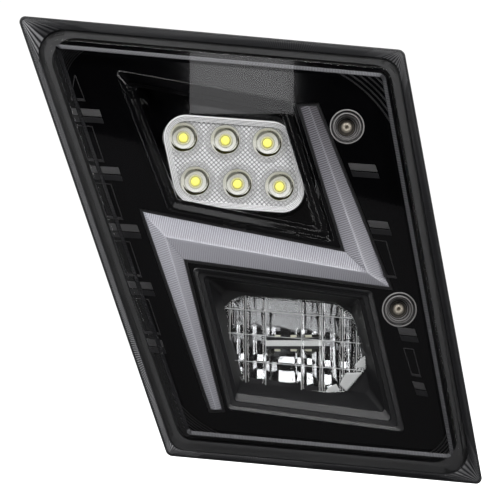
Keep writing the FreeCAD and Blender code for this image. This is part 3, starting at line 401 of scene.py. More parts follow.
finishes = {
    "glossBlack": mouldedFinish("glossBlack", (0.001, 0.001, 0.0012), (0.002, 0.002, 0.0024), 0.06,
                                spread=0.04, grain=700, depth=0.001, scratches=0.1),
    "satinBlack": mouldedFinish("satinBlack", (0.007, 0.007, 0.008), (0.012, 0.012, 0.013), 0.36,
                                spread=0.12, grain=1500, depth=0.01, specular=0.35),
    "housingBlack": mouldedFinish("housingBlack", (0.012, 0.012, 0.013), (0.022, 0.022, 0.023), 0.48,
                                  spread=0.16, grain=1800, depth=0.06, scratches=0.5),
    "rimRibbed": mouldedFinish("rimRibbed", (0.003, 0.003, 0.004), (0.55, 0.55, 0.57), 0.3,
                               spread=0.1, grain=900, depth=0.01, specular=0.2, follow="paintedLightTone"),
    "rungSatin": mouldedFinish("rungSatin", (0.011, 0.0105, 0.0115), (0.017, 0.0165, 0.018), 0.36,
                               spread=0.1, grain=1500, depth=0.01, specular=0.24),
    "wellSatin": mouldedFinish("wellSatin", (0.006, 0.006, 0.006), (0.30, 0.29, 0.29), 0.22, grain=1500,
                               depth=0.01, follow="paintedLightTone"),
    "opticSilver": mouldedFinish("opticSilver", (0.07, 0.07, 0.075), (0.95, 0.95, 0.96), 0.2, spread=0.1,
                                 grain=2500, depth=0.03, scratches=0.1, coat=0.6, follow="paintedLightTone"),
    "cupSilver": mouldedFinish("cupSilver", (0.002, 0.002, 0.002), (0.96, 0.96, 0.97), 0.12, spread=0.06,
                               grain=1500, depth=0.02, scratches=0.05, specular=0.06, follow="paintedLightTone"),
    "bowlSilver": mouldedFinish("bowlSilver", (0.17, 0.17, 0.175), (0.24, 0.24, 0.245), 0.06, spread=0.03,
                                metallic=1.0, grain=400, depth=0.004, scratches=0.05),
    # painted highlight: a pale opaque finish for the clear window's seams and facets
    "windowHighlight": mouldedFinish("windowHighlight", (0.45, 0.46, 0.46), (0.62, 0.63, 0.63), 0.1, spread=0.04,
                               grain=1200, depth=0.01, scratches=0.05, coat=0.5),
    "guideSatin": mouldedFinish("guideSatin", (0.055, 0.050, 0.055), (0.66, 0.66, 0.73), 0.30, spread=0.12,
                                grain=2200, depth=0.01, scratches=0.1, coat=0.2, follow="paintedLightTone"),
    # painted light: a faint glow brightens the phosphor, which is not lit
    "phosphor": mouldedFinish("phosphor", (0.90, 0.88, 0.12), (0.98, 0.97, 0.22), 0.45, spread=0.1,
                              grain=5000, depth=0.05, scratches=0.0, glow=(0.42, 0.38, 0.10)),
    "ledCeramic": mouldedFinish("ledCeramic", (0.70, 0.69, 0.55), (0.82, 0.81, 0.66), 0.5, grain=4000,
                                depth=0.03),
    "boardWhite": mouldedFinish("boardWhite", (0.55, 0.56, 0.54), (0.68, 0.68, 0.66), 0.45, grain=3000,
                                depth=0.02),
    "boardGreen": mouldedFinish("boardGreen", (0.012, 0.09, 0.035), (0.02, 0.13, 0.05), 0.35, grain=2000,
                                depth=0.03),
    "steel": mouldedFinish("steel", (0.42, 0.41, 0.39), (0.58, 0.57, 0.55), 0.32, metallic=1.0,
                           grain=2500, depth=0.02, scratches=0.6),
    "bronzeSteel": mouldedFinish("bronzeSteel", (0.02, 0.019, 0.018), (0.52, 0.47, 0.39), 0.34, metallic=0.3,
                                 grain=2500, depth=0.05, scratches=0.6, follow="paintedLightTone"),
    "zinc": mouldedFinish("zinc", (0.50, 0.50, 0.48), (0.68, 0.67, 0.63), 0.28, spread=0.2, metallic=1.0,
                          grain=1600, depth=0.03, scratches=0.6),
    "castAluminium": mouldedFinish("castAluminium", (0.48, 0.48, 0.48), (0.62, 0.62, 0.62), 0.42,
                                   spread=0.2, metallic=1.0, grain=1400, depth=0.12, scratches=0.4),
    "nylonWhite": mouldedFinish("nylonWhite", (0.62, 0.61, 0.56), (0.74, 0.73, 0.68), 0.42, grain=1500,
                                depth=0.03),
    "rubberBlack": mouldedFinish("rubberBlack", (0.014, 0.014, 0.014), (0.026, 0.026, 0.026), 0.72,
                                 spread=0.14, grain=1300, depth=0.08),
    "sealantGrey": mouldedFinish("sealantGrey", (0.10, 0.10, 0.10), (0.16, 0.16, 0.16), 0.6, grain=800,
                                 depth=0.15),
    "padGrey": mouldedFinish("padGrey", (0.30, 0.31, 0.32), (0.38, 0.39, 0.40), 0.75, grain=1500, depth=0.05),
    "tin": mouldedFinish("tin", (0.66, 0.65, 0.62), (0.80, 0.79, 0.76), 0.25, metallic=1.0, grain=2500,
                         depth=0.01),
    "sealOrange": mouldedFinish("sealOrange", (0.55, 0.16, 0.02), (0.72, 0.24, 0.04), 0.55, grain=1300,
                                depth=0.05),
    "lensClear": clearFinish("lensClear", 1.45, 0.015, most=0.022),
    "lensBorder": mouldedFinish("lensBorder", (0.004, 0.004, 0.005), (0.34, 0.34, 0.36), 0.14, grain=900,
                                depth=0.01, specular=0.3, follow="paintedLightTone"),
    "opticClear": clearFinish("opticClear", 1.45, 0.02),
}
print("finishes mixed")

# the outlines that the front pieces share
lamp = {
    "flange": [(-121.25, 122.0), (80.25, 104.0), (121.25, -122.0), (-43.0, -107.0)],
    "guide": [(-55.6, 19.8), (49.4, -1.0), (26.0, 74.4), (34.7, 74.9),
              (72.3, -19.2), (-34.6, -4.7), (-14.8, -82.7), (-20.3, -82.7)],
    "ridge": [(30.4, 74.6), (60.8, -12.0), (-43.7, 6.8), (-17.6, -82.7)],
    "module": (-8.2, 44.7), "moduleAcross": (69.2, -5.2), "moduleDown": (10.2, -48.2), "moduleRound": 12.0,
    "moduleRounds": [12.0, 13.0, 12.0, 15.0], "moduleGrow": [-0.9, -0.4, 0.1, -0.6],
    "ledMiddle": (-9.8, 46.3), "ledAcross": (22.2, -1.35), "ledDown": (6.4, -23.0),
    "window": [(-9.5, -26.2), (-4.0, -24.0), (44.6, -27.3), (53.8, -34.1), (61.3, -55.0), (61.3, -62.5),
               (50.4, -75.1), (40.4, -75.4), (-0.5, -72.5), (-7.4, -65.6), (-14.9, -45.7), (-15.8, -32.3)],
    "bowlCentre": (23.0, -49.5),
    "bezelScrews": [(50.4, 64.0), (77.5, -30.9)],
    "webLine": 3.2, "guideClear": 1.6,
    "flangeFront": -72.0, "bezelFront": -74.0, "moduleFront": -64.0, "lensFront": -86.0,
}
bezelEdge = inset(lamp["flange"], 10.5)
guideMouth = inset(lamp["guide"], -lamp["guideClear"])
guide = lamp["guide"]
upperTop = ((-70.7, 94.1), (24.4, 77.0))
upperLeft = ((-70.7, 94.1), (-41.6, 17.7))
upperRight = beside(guide[1], guide[2], -lamp["webLine"])
upperBottom = beside(guide[0], guide[1], -lamp["webLine"])
upperMouth = [upperTop[0], crossing(*upperTop, *upperRight), crossing(*upperRight, *upperBottom),
              crossing(*upperBottom, *upperLeft)]
lowerTop = beside(guide[4], guide[5], -lamp["webLine"])
lowerSide = beside(guide[5], guide[6], -lamp["webLine"])
lowerRight = ((62.8, -18.5), (80.7, -95.0))
lowerBottom = ((80.7, -95.0), (-11.3, -83.0))
lowerMouth = [crossing(*lowerSide, *lowerTop), crossing(*lowerTop, *lowerRight), (80.7, -95.0),
              crossing(*lowerBottom, *lowerSide)]


def quad(centre, across, down):
    return [(centre[0] + i * across[0] + j * down[0], centre[1] + i * across[1] + j * down[1])
            for i, j in ((-0.5, -0.5), (0.5, -0.5), (0.5, 0.5), (-0.5, 0.5))]


moduleEdge = quad(lamp["module"], lamp["moduleAcross"], lamp["moduleDown"])
opticOutline = inset(moduleEdge, lamp["moduleGrow"])
ledCentres = [(lamp["ledMiddle"][0] + i * lamp["ledAcross"][0] + j * lamp["ledDown"][0],
               lamp["ledMiddle"][1] + i * lamp["ledAcross"][1] + j * lamp["ledDown"][1])
              for j in (-0.5, 0.5) for i in (-1, 0, 1)]


# outer lens: a thin clear shell, with a knurled rim and a ribbed border round its face
lens = {
    "seat": [5.6, 5.0, 4.1, 4.0], "lean": [5.8, 5.2, 6.2, 7.4],
    "seatRounds": [12.0, 10.0, 11.0, 9.0], "faceRounds": [4.5, 7.0, 6.5, 5.5],
    "thickness": 2.6, "edgeRound": 0.8, "rimArcSteps": 31, "borderArcSteps": 24,
    "rimMargin": 0.65, "rimRounds": [3.0, 4.0, 3.0, 4.0], "ribFills": [621, 709, 509, 745], "ribHeight": 0.2,
    "ribShares": [0.5, 0.5, 1.0, 1.0],
    # painted highlight levels on the rib crests of the rim and the border, for the top, right, bottom and
    # left sides, and how far the corners reach
    "rimGlint": [0.05, 0.01, 0.04, 0.40], "cornerGlint": 0.16, "cornerReach": 16.0,
    "borderGlint": [0.95, 0.30, 0.85, 0.03],
    "borderWidth": 2.1, "borderFills": [420, 440, 340, 480], "borderDepth": 1.0,
}
lensSeat = inset(lamp["flange"], lens["seat"])
lensFace = inset(lensSeat, lens["lean"])


def makeLensShell():
    front, back = lamp["lensFront"] + 0.35, lamp["flangeFront"]
    wall, soft = lens["thickness"], lens["edgeRound"]

    def edge(corners, amount, rounds):
        return rounded(inset(corners, amount), [max(r - amount, 0.8) for r in rounds], 12)

    seatRounds, faceRounds = lens["seatRounds"], lens["faceRounds"]
    shell = skin("lensShell", [
        (edge(lensFace, wall, faceRounds), front + wall), (edge(lensSeat, wall, seatRounds), back),
        (edge(lensSeat, 0, seatRounds), back), (edge(lensFace, -soft * 0.25, faceRounds), front + soft),
        (edge(lensFace, soft * 0.3, faceRounds), front + soft * 0.25),
        (edge(lensFace, soft, faceRounds), front)])
    smoothed(shell, 50)
    return applied(shell, "WEIGHTED_NORMAL", mode="FACE_AREA", weight=90, keep_sharp=True)


def sideOf(corners, spot):
    # which side of a four-sided outline a point lies nearest to: top, right, bottom or left
    reaches = []
    for i, a in enumerate(corners):
        b = corners[(i + 1) % len(corners)]
        cross = (b[0] - a[0]) * (spot.z - a[1]) - (b[1] - a[1]) * (spot.x - a[0])
        reaches.append(abs(cross) / math.dist(a, b))
    return reaches.index(min(reaches))


def zigzag(count, base, height):
    return [base - height * (k % 2) for k in range(count)]


def sideRibs(steps, fills, base, height, shares):
    # ribs of full height round the corners, and a share of it along each side
    depths = []
    for fill, share in zip(fills, shares):
        depths += [base - height * (k // 2 % 2) for k in range(steps + 1)]
        depths += [base - height * share * (k // 2 % 2) for k in range(1, fill + 1)]
    return depths


def makeLensRim():
    # fine ribs run across the rim, from the foot of the lens to its outer edge
    back, front = lamp["flangeFront"], lamp["bezelFront"] + lens["ribHeight"]
    steps, fills = lens["rimArcSteps"], lens["ribFills"]
    outside = inset(lamp["flange"], lens["rimMargin"])
    ribs = sideRibs(steps, fills, front, lens["ribHeight"], lens["ribShares"])

    def edge(corners, amount, rounds):
        return rounded(inset(corners, amount), [max(r - amount, 0.6) for r in rounds], steps, fills)

    outer = edge(outside, 0, lens["rimRounds"])
    seat = [r + 0.3 for r in lens["seatRounds"]]
    levels = [(outer, back), (outer, front + 0.5), (edge(outside, 0.25, lens["rimRounds"]), front + 0.1),
              (edge(outside, 0.8, lens["rimRounds"]), ribs), (edge(lensSeat, -0.6, seat), ribs),
              (edge(lensSeat, -0.12, seat), front + 0.25), (edge(lensSeat, -0.12, seat), back)]
    rim = smoothed(skin("lensRim", levels, "ring"), 60)
    low = front - lens["ribHeight"] * 0.3

    def toneAt(spot):
        # painted highlights: the rib crests are painted light, strongly on the left and at the corners and
        # weaker on the right, and the valleys are painted dark
        glint = lens["rimGlint"][sideOf(lamp["flange"], spot)]
        if min(math.dist((spot.x, spot.z), corner) for corner in lamp["flange"]) < lens["cornerReach"]:
            glint = max(glint, lens["cornerGlint"])
        return glint if spot.y < low else 0.01

    return toned(rim, toneAt)


def makeLensBorder():
    # narrow ribbed strip moulded on the inner side of the lens face, along its edge
    top = lamp["lensFront"] + 0.35 + lens["thickness"]
    rounds, fills = lens["faceRounds"], lens["borderFills"]

    def edge(amount):
        return rounded(inset(lensFace, amount), [max(r - amount, 0.8) for r in rounds],
                       lens["borderArcSteps"], fills)

    start = lens["thickness"] + 0.1
    outer, inner = edge(start), edge(start + lens["borderWidth"])
    count, high = len(outer), 0.3
    levels = [(outer, top + lens["borderDepth"]), (outer, top + 0.5),
              (edge(start + 0.3), zigzag(count, top + 0.35, high)),
              (edge(start + lens["borderWidth"] - 0.3), zigzag(count, top + 0.35, high)),
              (inner, top + 0.5), (inner, top + lens["borderDepth"])]
    border = smoothed(skin("lensBorder", levels, "ring"), 25)

    def toneAt(spot):
        # painted highlights: the rib crests are painted light by side, and the valleys and the back at a
        # quarter of that
        glint = lens["borderGlint"][sideOf(lamp["flange"], spot)]
        return glint if spot.y < top + 0.2 else glint * 0.25

    return toned(border, toneAt)


dressed(makeLensShell(), finishes["lensClear"], "lens_clear", "lamp_body", "outer_lens")
dressed(makeLensRim(), finishes["rimRibbed"], "lens_clear", "lamp_body", "outer_lens")
dressed(makeLensBorder(), finishes["lensBorder"], "lens_clear", "lamp_body", "outer_lens")
print("outer lens made")

# bezel: black field with raised rungs and panels, and terraced corners
bezel = {
    "layer": 2.0, "shelf": 2.0, "rounds": [10.0, 9.0, 10.0, 8.0], "fieldRounds": [19.0, 65.0, 18.0, 55.0],
    "skirt": 6.0, "skirtDraft": 1.2, "recessRound": 3.0,
    "terraces": [(1.1, 8, 0.35), (2.3, 8, 0.9), (1.5, 6, 0.6), (1.15, 12, 0.4)],
    "terraceHeight": 0.6,
    "rungStep": (9.78, -29.9),
    "rungCorner": (-93.1, 73.8), "rungWidth": 15.0, "rungFall": -1.0, "rungTop": 3.8,
    "rungHeight": 0.8, "rungShares": [1.0, 1.0, 1.0, 0.82, 0.55], "rungLean": -0.33, "rungReach": 7.2,
    "rightRungs": [(51.0, 45.2, 14.0), (60.8, 15.6, 10.5), (76.4, -40.0, 9.0), (84.2, -68.1, 6.0)],
    "panelHeight": 0.35, "panelLine": 0.45, "panelShift": (2.7, -8.8),
    "panelShape": [(0.0, 0.0), (8.6, -0.8), (14.6, -18.6), (5.9, -17.6)],
    "otherPanels": [[(-91.0, 92.0), (-85.6, 78.0), (-93.0, 78.6)],
                    [(63.2, 5.6), (70.8, 4.6), (76.0, -14.0), (69.4, -13.2)],
                    [(79.4, -50.6), (85.0, -51.4), (88.6, -65.2), (83.6, -64.4)]],
    "wellRadii": [9.1, 8.3, 6.9, 6.2, 4.6], "highlightRings": [8.7, 7.0, 5.8, 4.9],
}


def cornerArcs(corner, radius, pitch, count, width, name):
    # ridges round the same centre as the field's own corner, clipped by the two sides
    edges = inset(bezelEdge, bezel["shelf"])
    tip = Vector(edges[corner])
    toBefore = (Vector(edges[corner - 1]) - tip).normalized()
    toAfter = (Vector(edges[(corner + 1) % 4]) - tip).normalized()
    half = toBefore.angle(toAfter) / 2
    centre = tip + (toBefore + toAfter).normalized() * (radius / math.sin(half))
    first = tip + toBefore * (radius / math.tan(half)) - centre
    last = tip + toAfter * (radius / math.tan(half)) - centre
    turn = math.atan2(first.x * last.y - first.y * last.x, first.dot(last))
    start = math.atan2(first.y, first.x)
    way = 1 if turn > 0 else -1
    ridges = []
    for i in range(1, count + 1):
        reach = radius + pitch * i
        pull = math.acos(radius / (reach + width)) + 0.01
        if abs(turn) - 2 * pull < 0.06:
            break
        steps = 20
        angles = [start + way * (pull + (abs(turn) - 2 * pull) * k / steps) for k in range(steps + 1)]
        strip = [(centre.x + (reach + width) * math.cos(a), centre.y + (reach + width) * math.sin(a))
                 for a in angles]
        strip += [(centre.x + reach * math.cos(a), centre.y + reach * math.sin(a)) for a in reversed(angles)]
        base = lamp["bezelFront"] + bezel["layer"]
        ridges.append(plate(name, strip, base - bezel["terraceHeight"], base + 0.3))
    return ridges


def makeBezelField():
    front = lamp["bezelFront"]
    step, back = front + bezel["layer"], front + 2 * bezel["layer"]
    skirtEnd = back + bezel["skirt"]
    rounds = bezel["rounds"]
    drafted = inset(bezelEdge, bezel["skirtDraft"])
    base = skin("bezelField", [
        (rounded(inset(bezelEdge, bezel["layer"]), rounds), back),
        (rounded(inset(drafted, bezel["layer"]), rounds), skirtEnd),
        (rounded(drafted, rounds), skirtEnd), (rounded(bezelEdge, rounds), back),
        (rounded(bezelEdge, rounds), step)], "caps")
    fieldEdge = rounded(inset(bezelEdge, bezel["shelf"]), bezel["fieldRounds"], 24)
    field = plate("field", fieldEdge, front, step + 0.5)
    combined(base, [field], "UNION")
    cutters = [plate("cut", rounded(upperMouth, bezel["recessRound"]), front - 3, back + 3),
               plate("cut", rounded(lowerMouth, bezel["recessRound"]), front - 3, back + 3),
               plate("cut", rounded(guideMouth, 0.3, 2), front - 3, back + 3)]
    cutters += [plate("cut", circle(c, bezel["wellRadii"][0], 64), front - 3, back + 3)
                for c in lamp["bezelScrews"]]
    return softened(combined(base, cutters, "DIFFERENCE"), 0.35, 2)


def makeWells():
    # ringed wells that the bezel screws sit in
    wells = []
    front = lamp["bezelFront"]
    r = bezel["wellRadii"]
    for c in lamp["bezelScrews"]:
        profile = [(r[0] + 0.1, 2.0), (r[0] + 0.1, -0.1), (r[0] - 0.3, -0.35), (r[1], -0.35),
                   (r[1] - 0.4, 0.9),
                   (r[2] + 0.3, 0.9), (r[2], 0.3), (r[2] - 0.5, 0.3), (r[3] - 0.2, 3.0), (r[4] + 0.7, 3.4),
                   (r[4] + 0.4, 7.4), (r[4] - 0.2, 8.0), (2.4, 8.0), (2.4, 10.0), (r[0] - 1.0, 10.0)]
        levels = [(circle(c, radius, 64), front + depth) for radius, depth in profile]
        wells.append(skin("well", levels, "ring"))
    rings = softened(joined("screwWells", wells), 0.15, 2, 25)

    def toneAt(spot):
        # painted highlights: bright rings painted on the rims between dark steps
        reach = min(math.dist((spot.x, spot.z), c) for c in lamp["bezelScrews"])
        return 0.8 if any(abs(reach - ring) < 0.28 for ring in bezel["highlightRings"]) else 0.06

    return toned(rings, toneAt)


def rungSpot(i):
    # upper left corner of one of the rungs on the left
    return shifted(bezel["rungCorner"], i * bezel["rungStep"][0], i * bezel["rungStep"][1])


def makeRungs():
    front, high = lamp["bezelFront"], bezel["rungHeight"]
    bars, feet = [], []
    lean, reach, top = bezel["rungLean"], bezel["rungReach"], bezel["rungTop"]
    spotsLeft = [(*rungSpot(i), bezel["rungWidth"] * share) for i, share in enumerate(bezel["rungShares"])]
    for x, z, width in spotsLeft + bezel["rightRungs"]:
        corners = [(x, z), (x + width, z + bezel["rungFall"]),
                   (x + width - lean * reach, z + bezel["rungFall"] - reach), (x - lean * reach, z - reach)]
        ridgeLeft, ridgeRight = shifted(corners[0], -lean * top, -top), shifted(corners[1], -lean * top, -top)
        footLeft, footRight = shifted(ridgeLeft, 0.1, -0.5), shifted(ridgeRight, 0.1, -0.5)
        # the upper face leans up to the light, and a thin groove parts it from the lower one
        upper = skin("bar", [([corners[0], corners[1], ridgeRight, ridgeLeft], [front + 0.6] * 4),
                             ([corners[0], corners[1], ridgeRight, ridgeLeft],
                              [front - 0.15, front - 0.15, front - high, front - high])])
        lower = skin("bar", [([footLeft, footRight, corners[2], corners[3]], [front + 0.6] * 4),
                             ([footLeft, footRight, corners[2], corners[3]],
                              [front - high * 0.75, front - high * 0.75, front - 0.1, front - 0.1])])
        bars.append(upper)
        feet.append(lower)
    return softened(joined("bezelRungs", bars), 0.15, 2), softened(joined("rungFeet", feet), 0.15, 2)


def makePanels():
    front = lamp["bezelFront"]
    starts = [shifted(rungSpot(i), *bezel["panelShift"]) for i in range(4)]
    outlines = [[shifted(start, *corner) for corner in bezel["panelShape"]] for start in starts]
    outlines += bezel["otherPanels"]
    pads = []
    for corners in outlines:
        outer = rounded(corners, 0.4, 3)
        inner = rounded(inset(corners, bezel["panelLine"]), 0.3, 3)
        high = front - bezel["panelHeight"]
        foot = front + 0.4
        pads.append(skin("pad", [(outer, foot), (outer, high), (inner, high), (inner, foot)], "ring"))
        low = corners[2:4] if len(corners) == 4 else corners[1:3]
        ledge = [low[1], low[0], shifted(low[0], 0.3, -0.9), shifted(low[1], 0.3, -0.9)]
        pads.append(plate("pad", ledge, front - bezel["panelHeight"] * 1.6, foot))
    return softened(joined("bezelPanels", pads), 0.1, 2)


gloss = finishes["glossBlack"]
dressed(makeBezelField(), gloss, "bezel_gloss_black", "lamp_body", "main_bezel")
dressed(makeWells(), finishes["wellSatin"], "bezel_gloss_black", "lamp_body", "main_bezel")
rungs, rungFeet = makeRungs()
dressed(rungs, finishes["rungSatin"], "bezel_gloss_black", "lamp_body", "main_bezel")
dressed(rungFeet, finishes["satinBlack"], "bezel_gloss_black", "lamp_body", "main_bezel")
dressed(makePanels(), finishes["rungSatin"], "bezel_gloss_black", "lamp_body", "main_bezel")
ridges = []
for corner, (pitch, count, width) in enumerate(bezel["terraces"]):
    ridges += cornerArcs(corner, bezel["fieldRounds"][corner], pitch, count, width, "ridge")
dressed(softened(joined("cornerTerraces", ridges), 0.12, 1), finishes["rungSatin"], "bezel_gloss_black",
        "lamp_body", "main_bezel")
print("bezel made")

# pockets: stepped funnels down to the two optics
pockets = {
    "upperFloor": [8.0, 3.6, 4.2, 5.0], "upperDepth": 20.0,
    "lowerDepth": 16.0, "wall": 1.5, "floor": 2.0, "round": 3.0, "mouthGap": 0.2,
    # each step is an inset from the mouth for top, right, bottom and left, then a depth
    "upperSteps": [([0, 0, 0, 0], 0.0), ([0.5, 0.4, 0.4, 0.4], -0.3), ([4.6, 1.6, 1.6, 2.6], 1.5),
                   ([5.0, 1.8, 1.8, 2.9], 3.0), ([5.6, 4.2, 4.2, 4.2], 3.1), ([5.9, 4.4, 4.4, 4.4], 4.6),
                   ([6.6, 6.6, 6.6, 6.2], 4.8), ([6.9, 6.8, 6.8, 6.5], 6.2)],
    "lowerSteps": [([0, 0, 0, 0], 0.0), ([0.5, 0.5, 0.5, 0.5], -0.3), ([1.8, 2.4, 2.2, 1.8], 0.4),
                   ([2.0, 2.7, 2.5, 2.0], 1.8), ([3.6, 5.0, 4.4, 4.2], 2.1), ([3.8, 5.3, 4.7, 4.4], 3.6),
                   ([5.0, 7.2, 8.6, 6.4], 5.4), ([5.2, 7.5, 8.9, 6.7], 7.0)],
}


def makeFunnel(name, mouth, steps, floor, floorRounds, depth, opening, openingRounds):
    front = lamp["bezelFront"]
    inner = [(rounded(inset(mouth, [pockets["mouthGap"] + a for a in amounts]), pockets["round"] * 0.6),
              front + d)
             for amounts, d in steps]
    floorFront = front + depth
    inner.append((rounded(floor, floorRounds), floorFront))
    wall = pockets["wall"]
    outer = [(rounded(inset(floor, -wall * 0.6), floorRounds), floorFront + pockets["floor"]),
             (rounded(inset(mouth, pockets["mouthGap"]), pockets["round"]), front + 4.0)]
    # floor: a plate across the funnel's foot with the optic's opening in it
    body = skin(name, inner + outer, "ring")
    base = plate("base", rounded(inset(floor, -0.4), floorRounds), floorFront, floorFront + pockets["floor"])
    hole = plate("hole", rounded(opening, openingRounds, 8), floorFront - 2,
                 floorFront + pockets["floor"] + 2)
    combined(base, [hole], "DIFFERENCE")
    return softened(joined(name, [body, base]), 0.2, 2, 20)


upperFloor = inset(moduleEdge, [-a for a in pockets["upperFloor"]])
dressed(makeFunnel("upperFunnel", upperMouth, pockets["upperSteps"], upperFloor, pockets["round"],
                   pockets["upperDepth"], inset(moduleEdge, -1.8), lamp["moduleRound"] + 1.8),
        gloss, "bezel_gloss_black", "lamp_body", "upper_pocket")
lowerFloor = inset(lowerMouth, [10.0, 12.0, 17.0, 11.0])
dressed(makeFunnel("lowerFunnel", lowerMouth, pockets["lowerSteps"], lowerFloor, pockets["round"],
                   pockets["lowerDepth"], inset(lamp["window"], -0.15), 1.5),
        finishes["satinBlack"], "bezel_gloss_black", "lamp_body", "lower_pocket")
print("pockets made")

# light guide: wedges with a rib every pitch along them
guideBar = {
    "eave": -72.5, "ridge": -76.0, "back": -66.0, "pitch": 1.15, "ribHeight": 0.25,
    # painted light: the eave is painted darker and the ridge lighter
    "rows": [0.0, 0.05, 0.86, 1.0], "eaveShade": -0.12, "ridgeHighlight": 0.16,
}


def clippedLine(corners, a, way):
    # where the line through a along way crosses a convex outline
    cuts = []
    for i, p in enumerate(corners):
        q = corners[(i + 1) % len(corners)]
        ux, uz = q[0] - p[0], q[1] - p[1]
        base = ux * way[1] - uz * way[0]
        if abs(base) < 1e-9:
            continue
        share = ((a[0] - p[0]) * way[1] - (a[1] - p[1]) * way[0]) / base
        if -1e-6 <= share <= 1 + 1e-6:
            spot = (p[0] + ux * share, p[1] + uz * share)
            cuts.append((spot[0] - a[0]) * way[0] + (spot[1] - a[1]) * way[1])
    return (min(cuts), max(cuts)) if cuts else (0.0, 0.0)


def makeWedge(eaveStart, eaveEnd, ridgeStart, ridgeEnd, strength, tones, swing):
    corners = [eaveStart, eaveEnd, ridgeEnd, ridgeStart]
    length = math.dist(eaveStart, eaveEnd)
    u = ((eaveEnd[0] - eaveStart[0]) / length, (eaveEnd[1] - eaveStart[1]) / length)
    v = (u[1], -u[0])
    along = [(c[0] - eaveStart[0]) * u[0] + (c[1] - eaveStart[1]) * u[1] for c in corners]
    low, high = min(along) + 0.02, max(along) - 0.02
    columns = max(4, round((high - low) / (guideBar["pitch"] / 2)))
    rows = guideBar["rows"]
    last = len(rows) - 1
    deselectAll()
    bpy.ops.mesh.primitive_grid_add(x_subdivisions=columns, y_subdivisions=last, size=2)
    piece = bpy.context.object
    layer = piece.data.attributes.new("paintedLightTone", "FLOAT", "POINT")
    for vertex, entry in zip(piece.data.vertices, layer.data):
        column = round((vertex.co.x + 1) / 2 * columns)
        row = round((vertex.co.y + 1) / 2 * last)
        s = low + (high - low) * column / columns
        start = (eaveStart[0] + u[0] * s, eaveStart[1] + u[1] * s)
        near, far = clippedLine(corners, start, v)
        t = near + (far - near) * rows[row]
        spot = (start[0] + v[0] * t, start[1] + v[1] * t)
        ridgeAt = crossing(start, shifted(start, *v), ridgeStart, ridgeEnd)
        reach = (ridgeAt[0] - start[0]) * v[0] + (ridgeAt[1] - start[1]) * v[1]
        climb = max(0.0, min(1.0, t / reach))
        y = guideBar["eave"] + (guideBar["ridge"] - guideBar["eave"]) * climb
        crest = column % 2 and 0 < column < columns and 0 < row < last
        y -= guideBar["ribHeight"] * strength * bool(crest)
        vertex.co = (spot[0] * mm, y * mm, spot[1] * mm)
        # painted light: each run's tone goes from its start to its end as the light falls on that side, with
        # the eave painted darker, the ridge lighter, the rib crests lighter and the valleys darker
        tone = tones[0] + (tones[1] - tones[0]) * column / columns
        if row == 0:
            entry.value = tone + guideBar["eaveShade"]
        elif row == last:
            entry.value = tone + guideBar["ridgeHighlight"]
        else:
            entry.value = tone + (swing if crest else -swing) * (0.3 if row > 1 and strength < 0.5 else 1.0)
    bpy.ops.object.mode_set(mode="EDIT")
    bpy.ops.mesh.select_all(action="SELECT")
    bpy.ops.mesh.extrude_region_move(TRANSFORM_OT_translate={"value": (0, 0.01, 0)})
    bpy.ops.object.mode_set(mode="OBJECT")
    for vertex in piece.data.vertices:
        if vertex.select:
            vertex.co.y = guideBar["back"] * mm
    bpy.ops.object.mode_set(mode="EDIT")
    bpy.ops.mesh.select_all(action="SELECT")
    bpy.ops.mesh.remove_doubles(threshold=1e-6)
    bpy.ops.mesh.normals_make_consistent(inside=False)
    bpy.ops.object.mode_set(mode="OBJECT")
    return piece


def makeGuide():
    g, r = lamp["guide"], lamp["ridge"]
    # each run: eave ends, ridge ends, rib strength, its painted tone at start and end, and the painted swing
    # between crests and valleys
    runs = [(g[0], g[1], r[2], r[1], 1.0, (0.68, 0.58), 0.26),
            (g[1], g[2], r[1], r[0], 1.0, (0.46, 0.16), 0.24),
            (g[3], g[4], r[0], r[1], 0.8, (0.05, 0.50), 0.16),
            (g[4], g[5], r[1], r[2], 0.35, (0.50, 0.54), 0.16),
            (g[5], g[6], r[2], r[3], 0.35, (0.48, 0.42), 0.18),
            (g[7], g[0], r[3], r[2], 1.0, (0.56, 0.68), 0.26)]
    wedges = [makeWedge(*run) for run in runs]
    return smoothed(joined("lightGuide", wedges), 20)


dressed(makeGuide(), finishes["guideSatin"], "guide_frosted", "lamp_body", "light_guide")
print("light guide made")

# upper optic: rimmed clear cover, six silvered cups with rings round them, and their LEDs
optic = {
    "rimSteps": [(0.0, 1.2), (0.3, 0.3), (0.7, 0.0), (1.2, 0.0), (1.35, 0.45), (1.9, 0.45), (2.05, 0.8),
                 (2.6, 0.8), (2.75, 1.2), (3.3, 1.2)],
    "rimLines": [1.3, 2.0, 2.7], "lineWidth": 0.34, "rimLow": 0.3,
    "cupRadius": 7.7, "cupDepth": 5.2, "throat": 3.9,
    "rings": [8.2, 8.8, 9.4, 10.0, 10.6], "ringHeight": 0.28,
    "faceDepth": 2.2, "phosphorRadius": 2.3, "ringRadius": 3.7,
    # painted reflections: dark crescent marks in each cup; middle angle, reach, width and depth of tone
    "reflectedCrescents": [(-1.8, 6.6, 1.0, 1.6), (2.1, 5.8, 1.0, 0.7), (0.6, 6.3, 0.9, 0.85), (-0.6, 7.1, 0.6, 1.2)],
}


def opticEdge(amount):
    rounds = [max(r - amount * 0.9, 2.0) for r in lamp["moduleRounds"]]
    return rounded(inset(opticOutline, amount), rounds, 12)


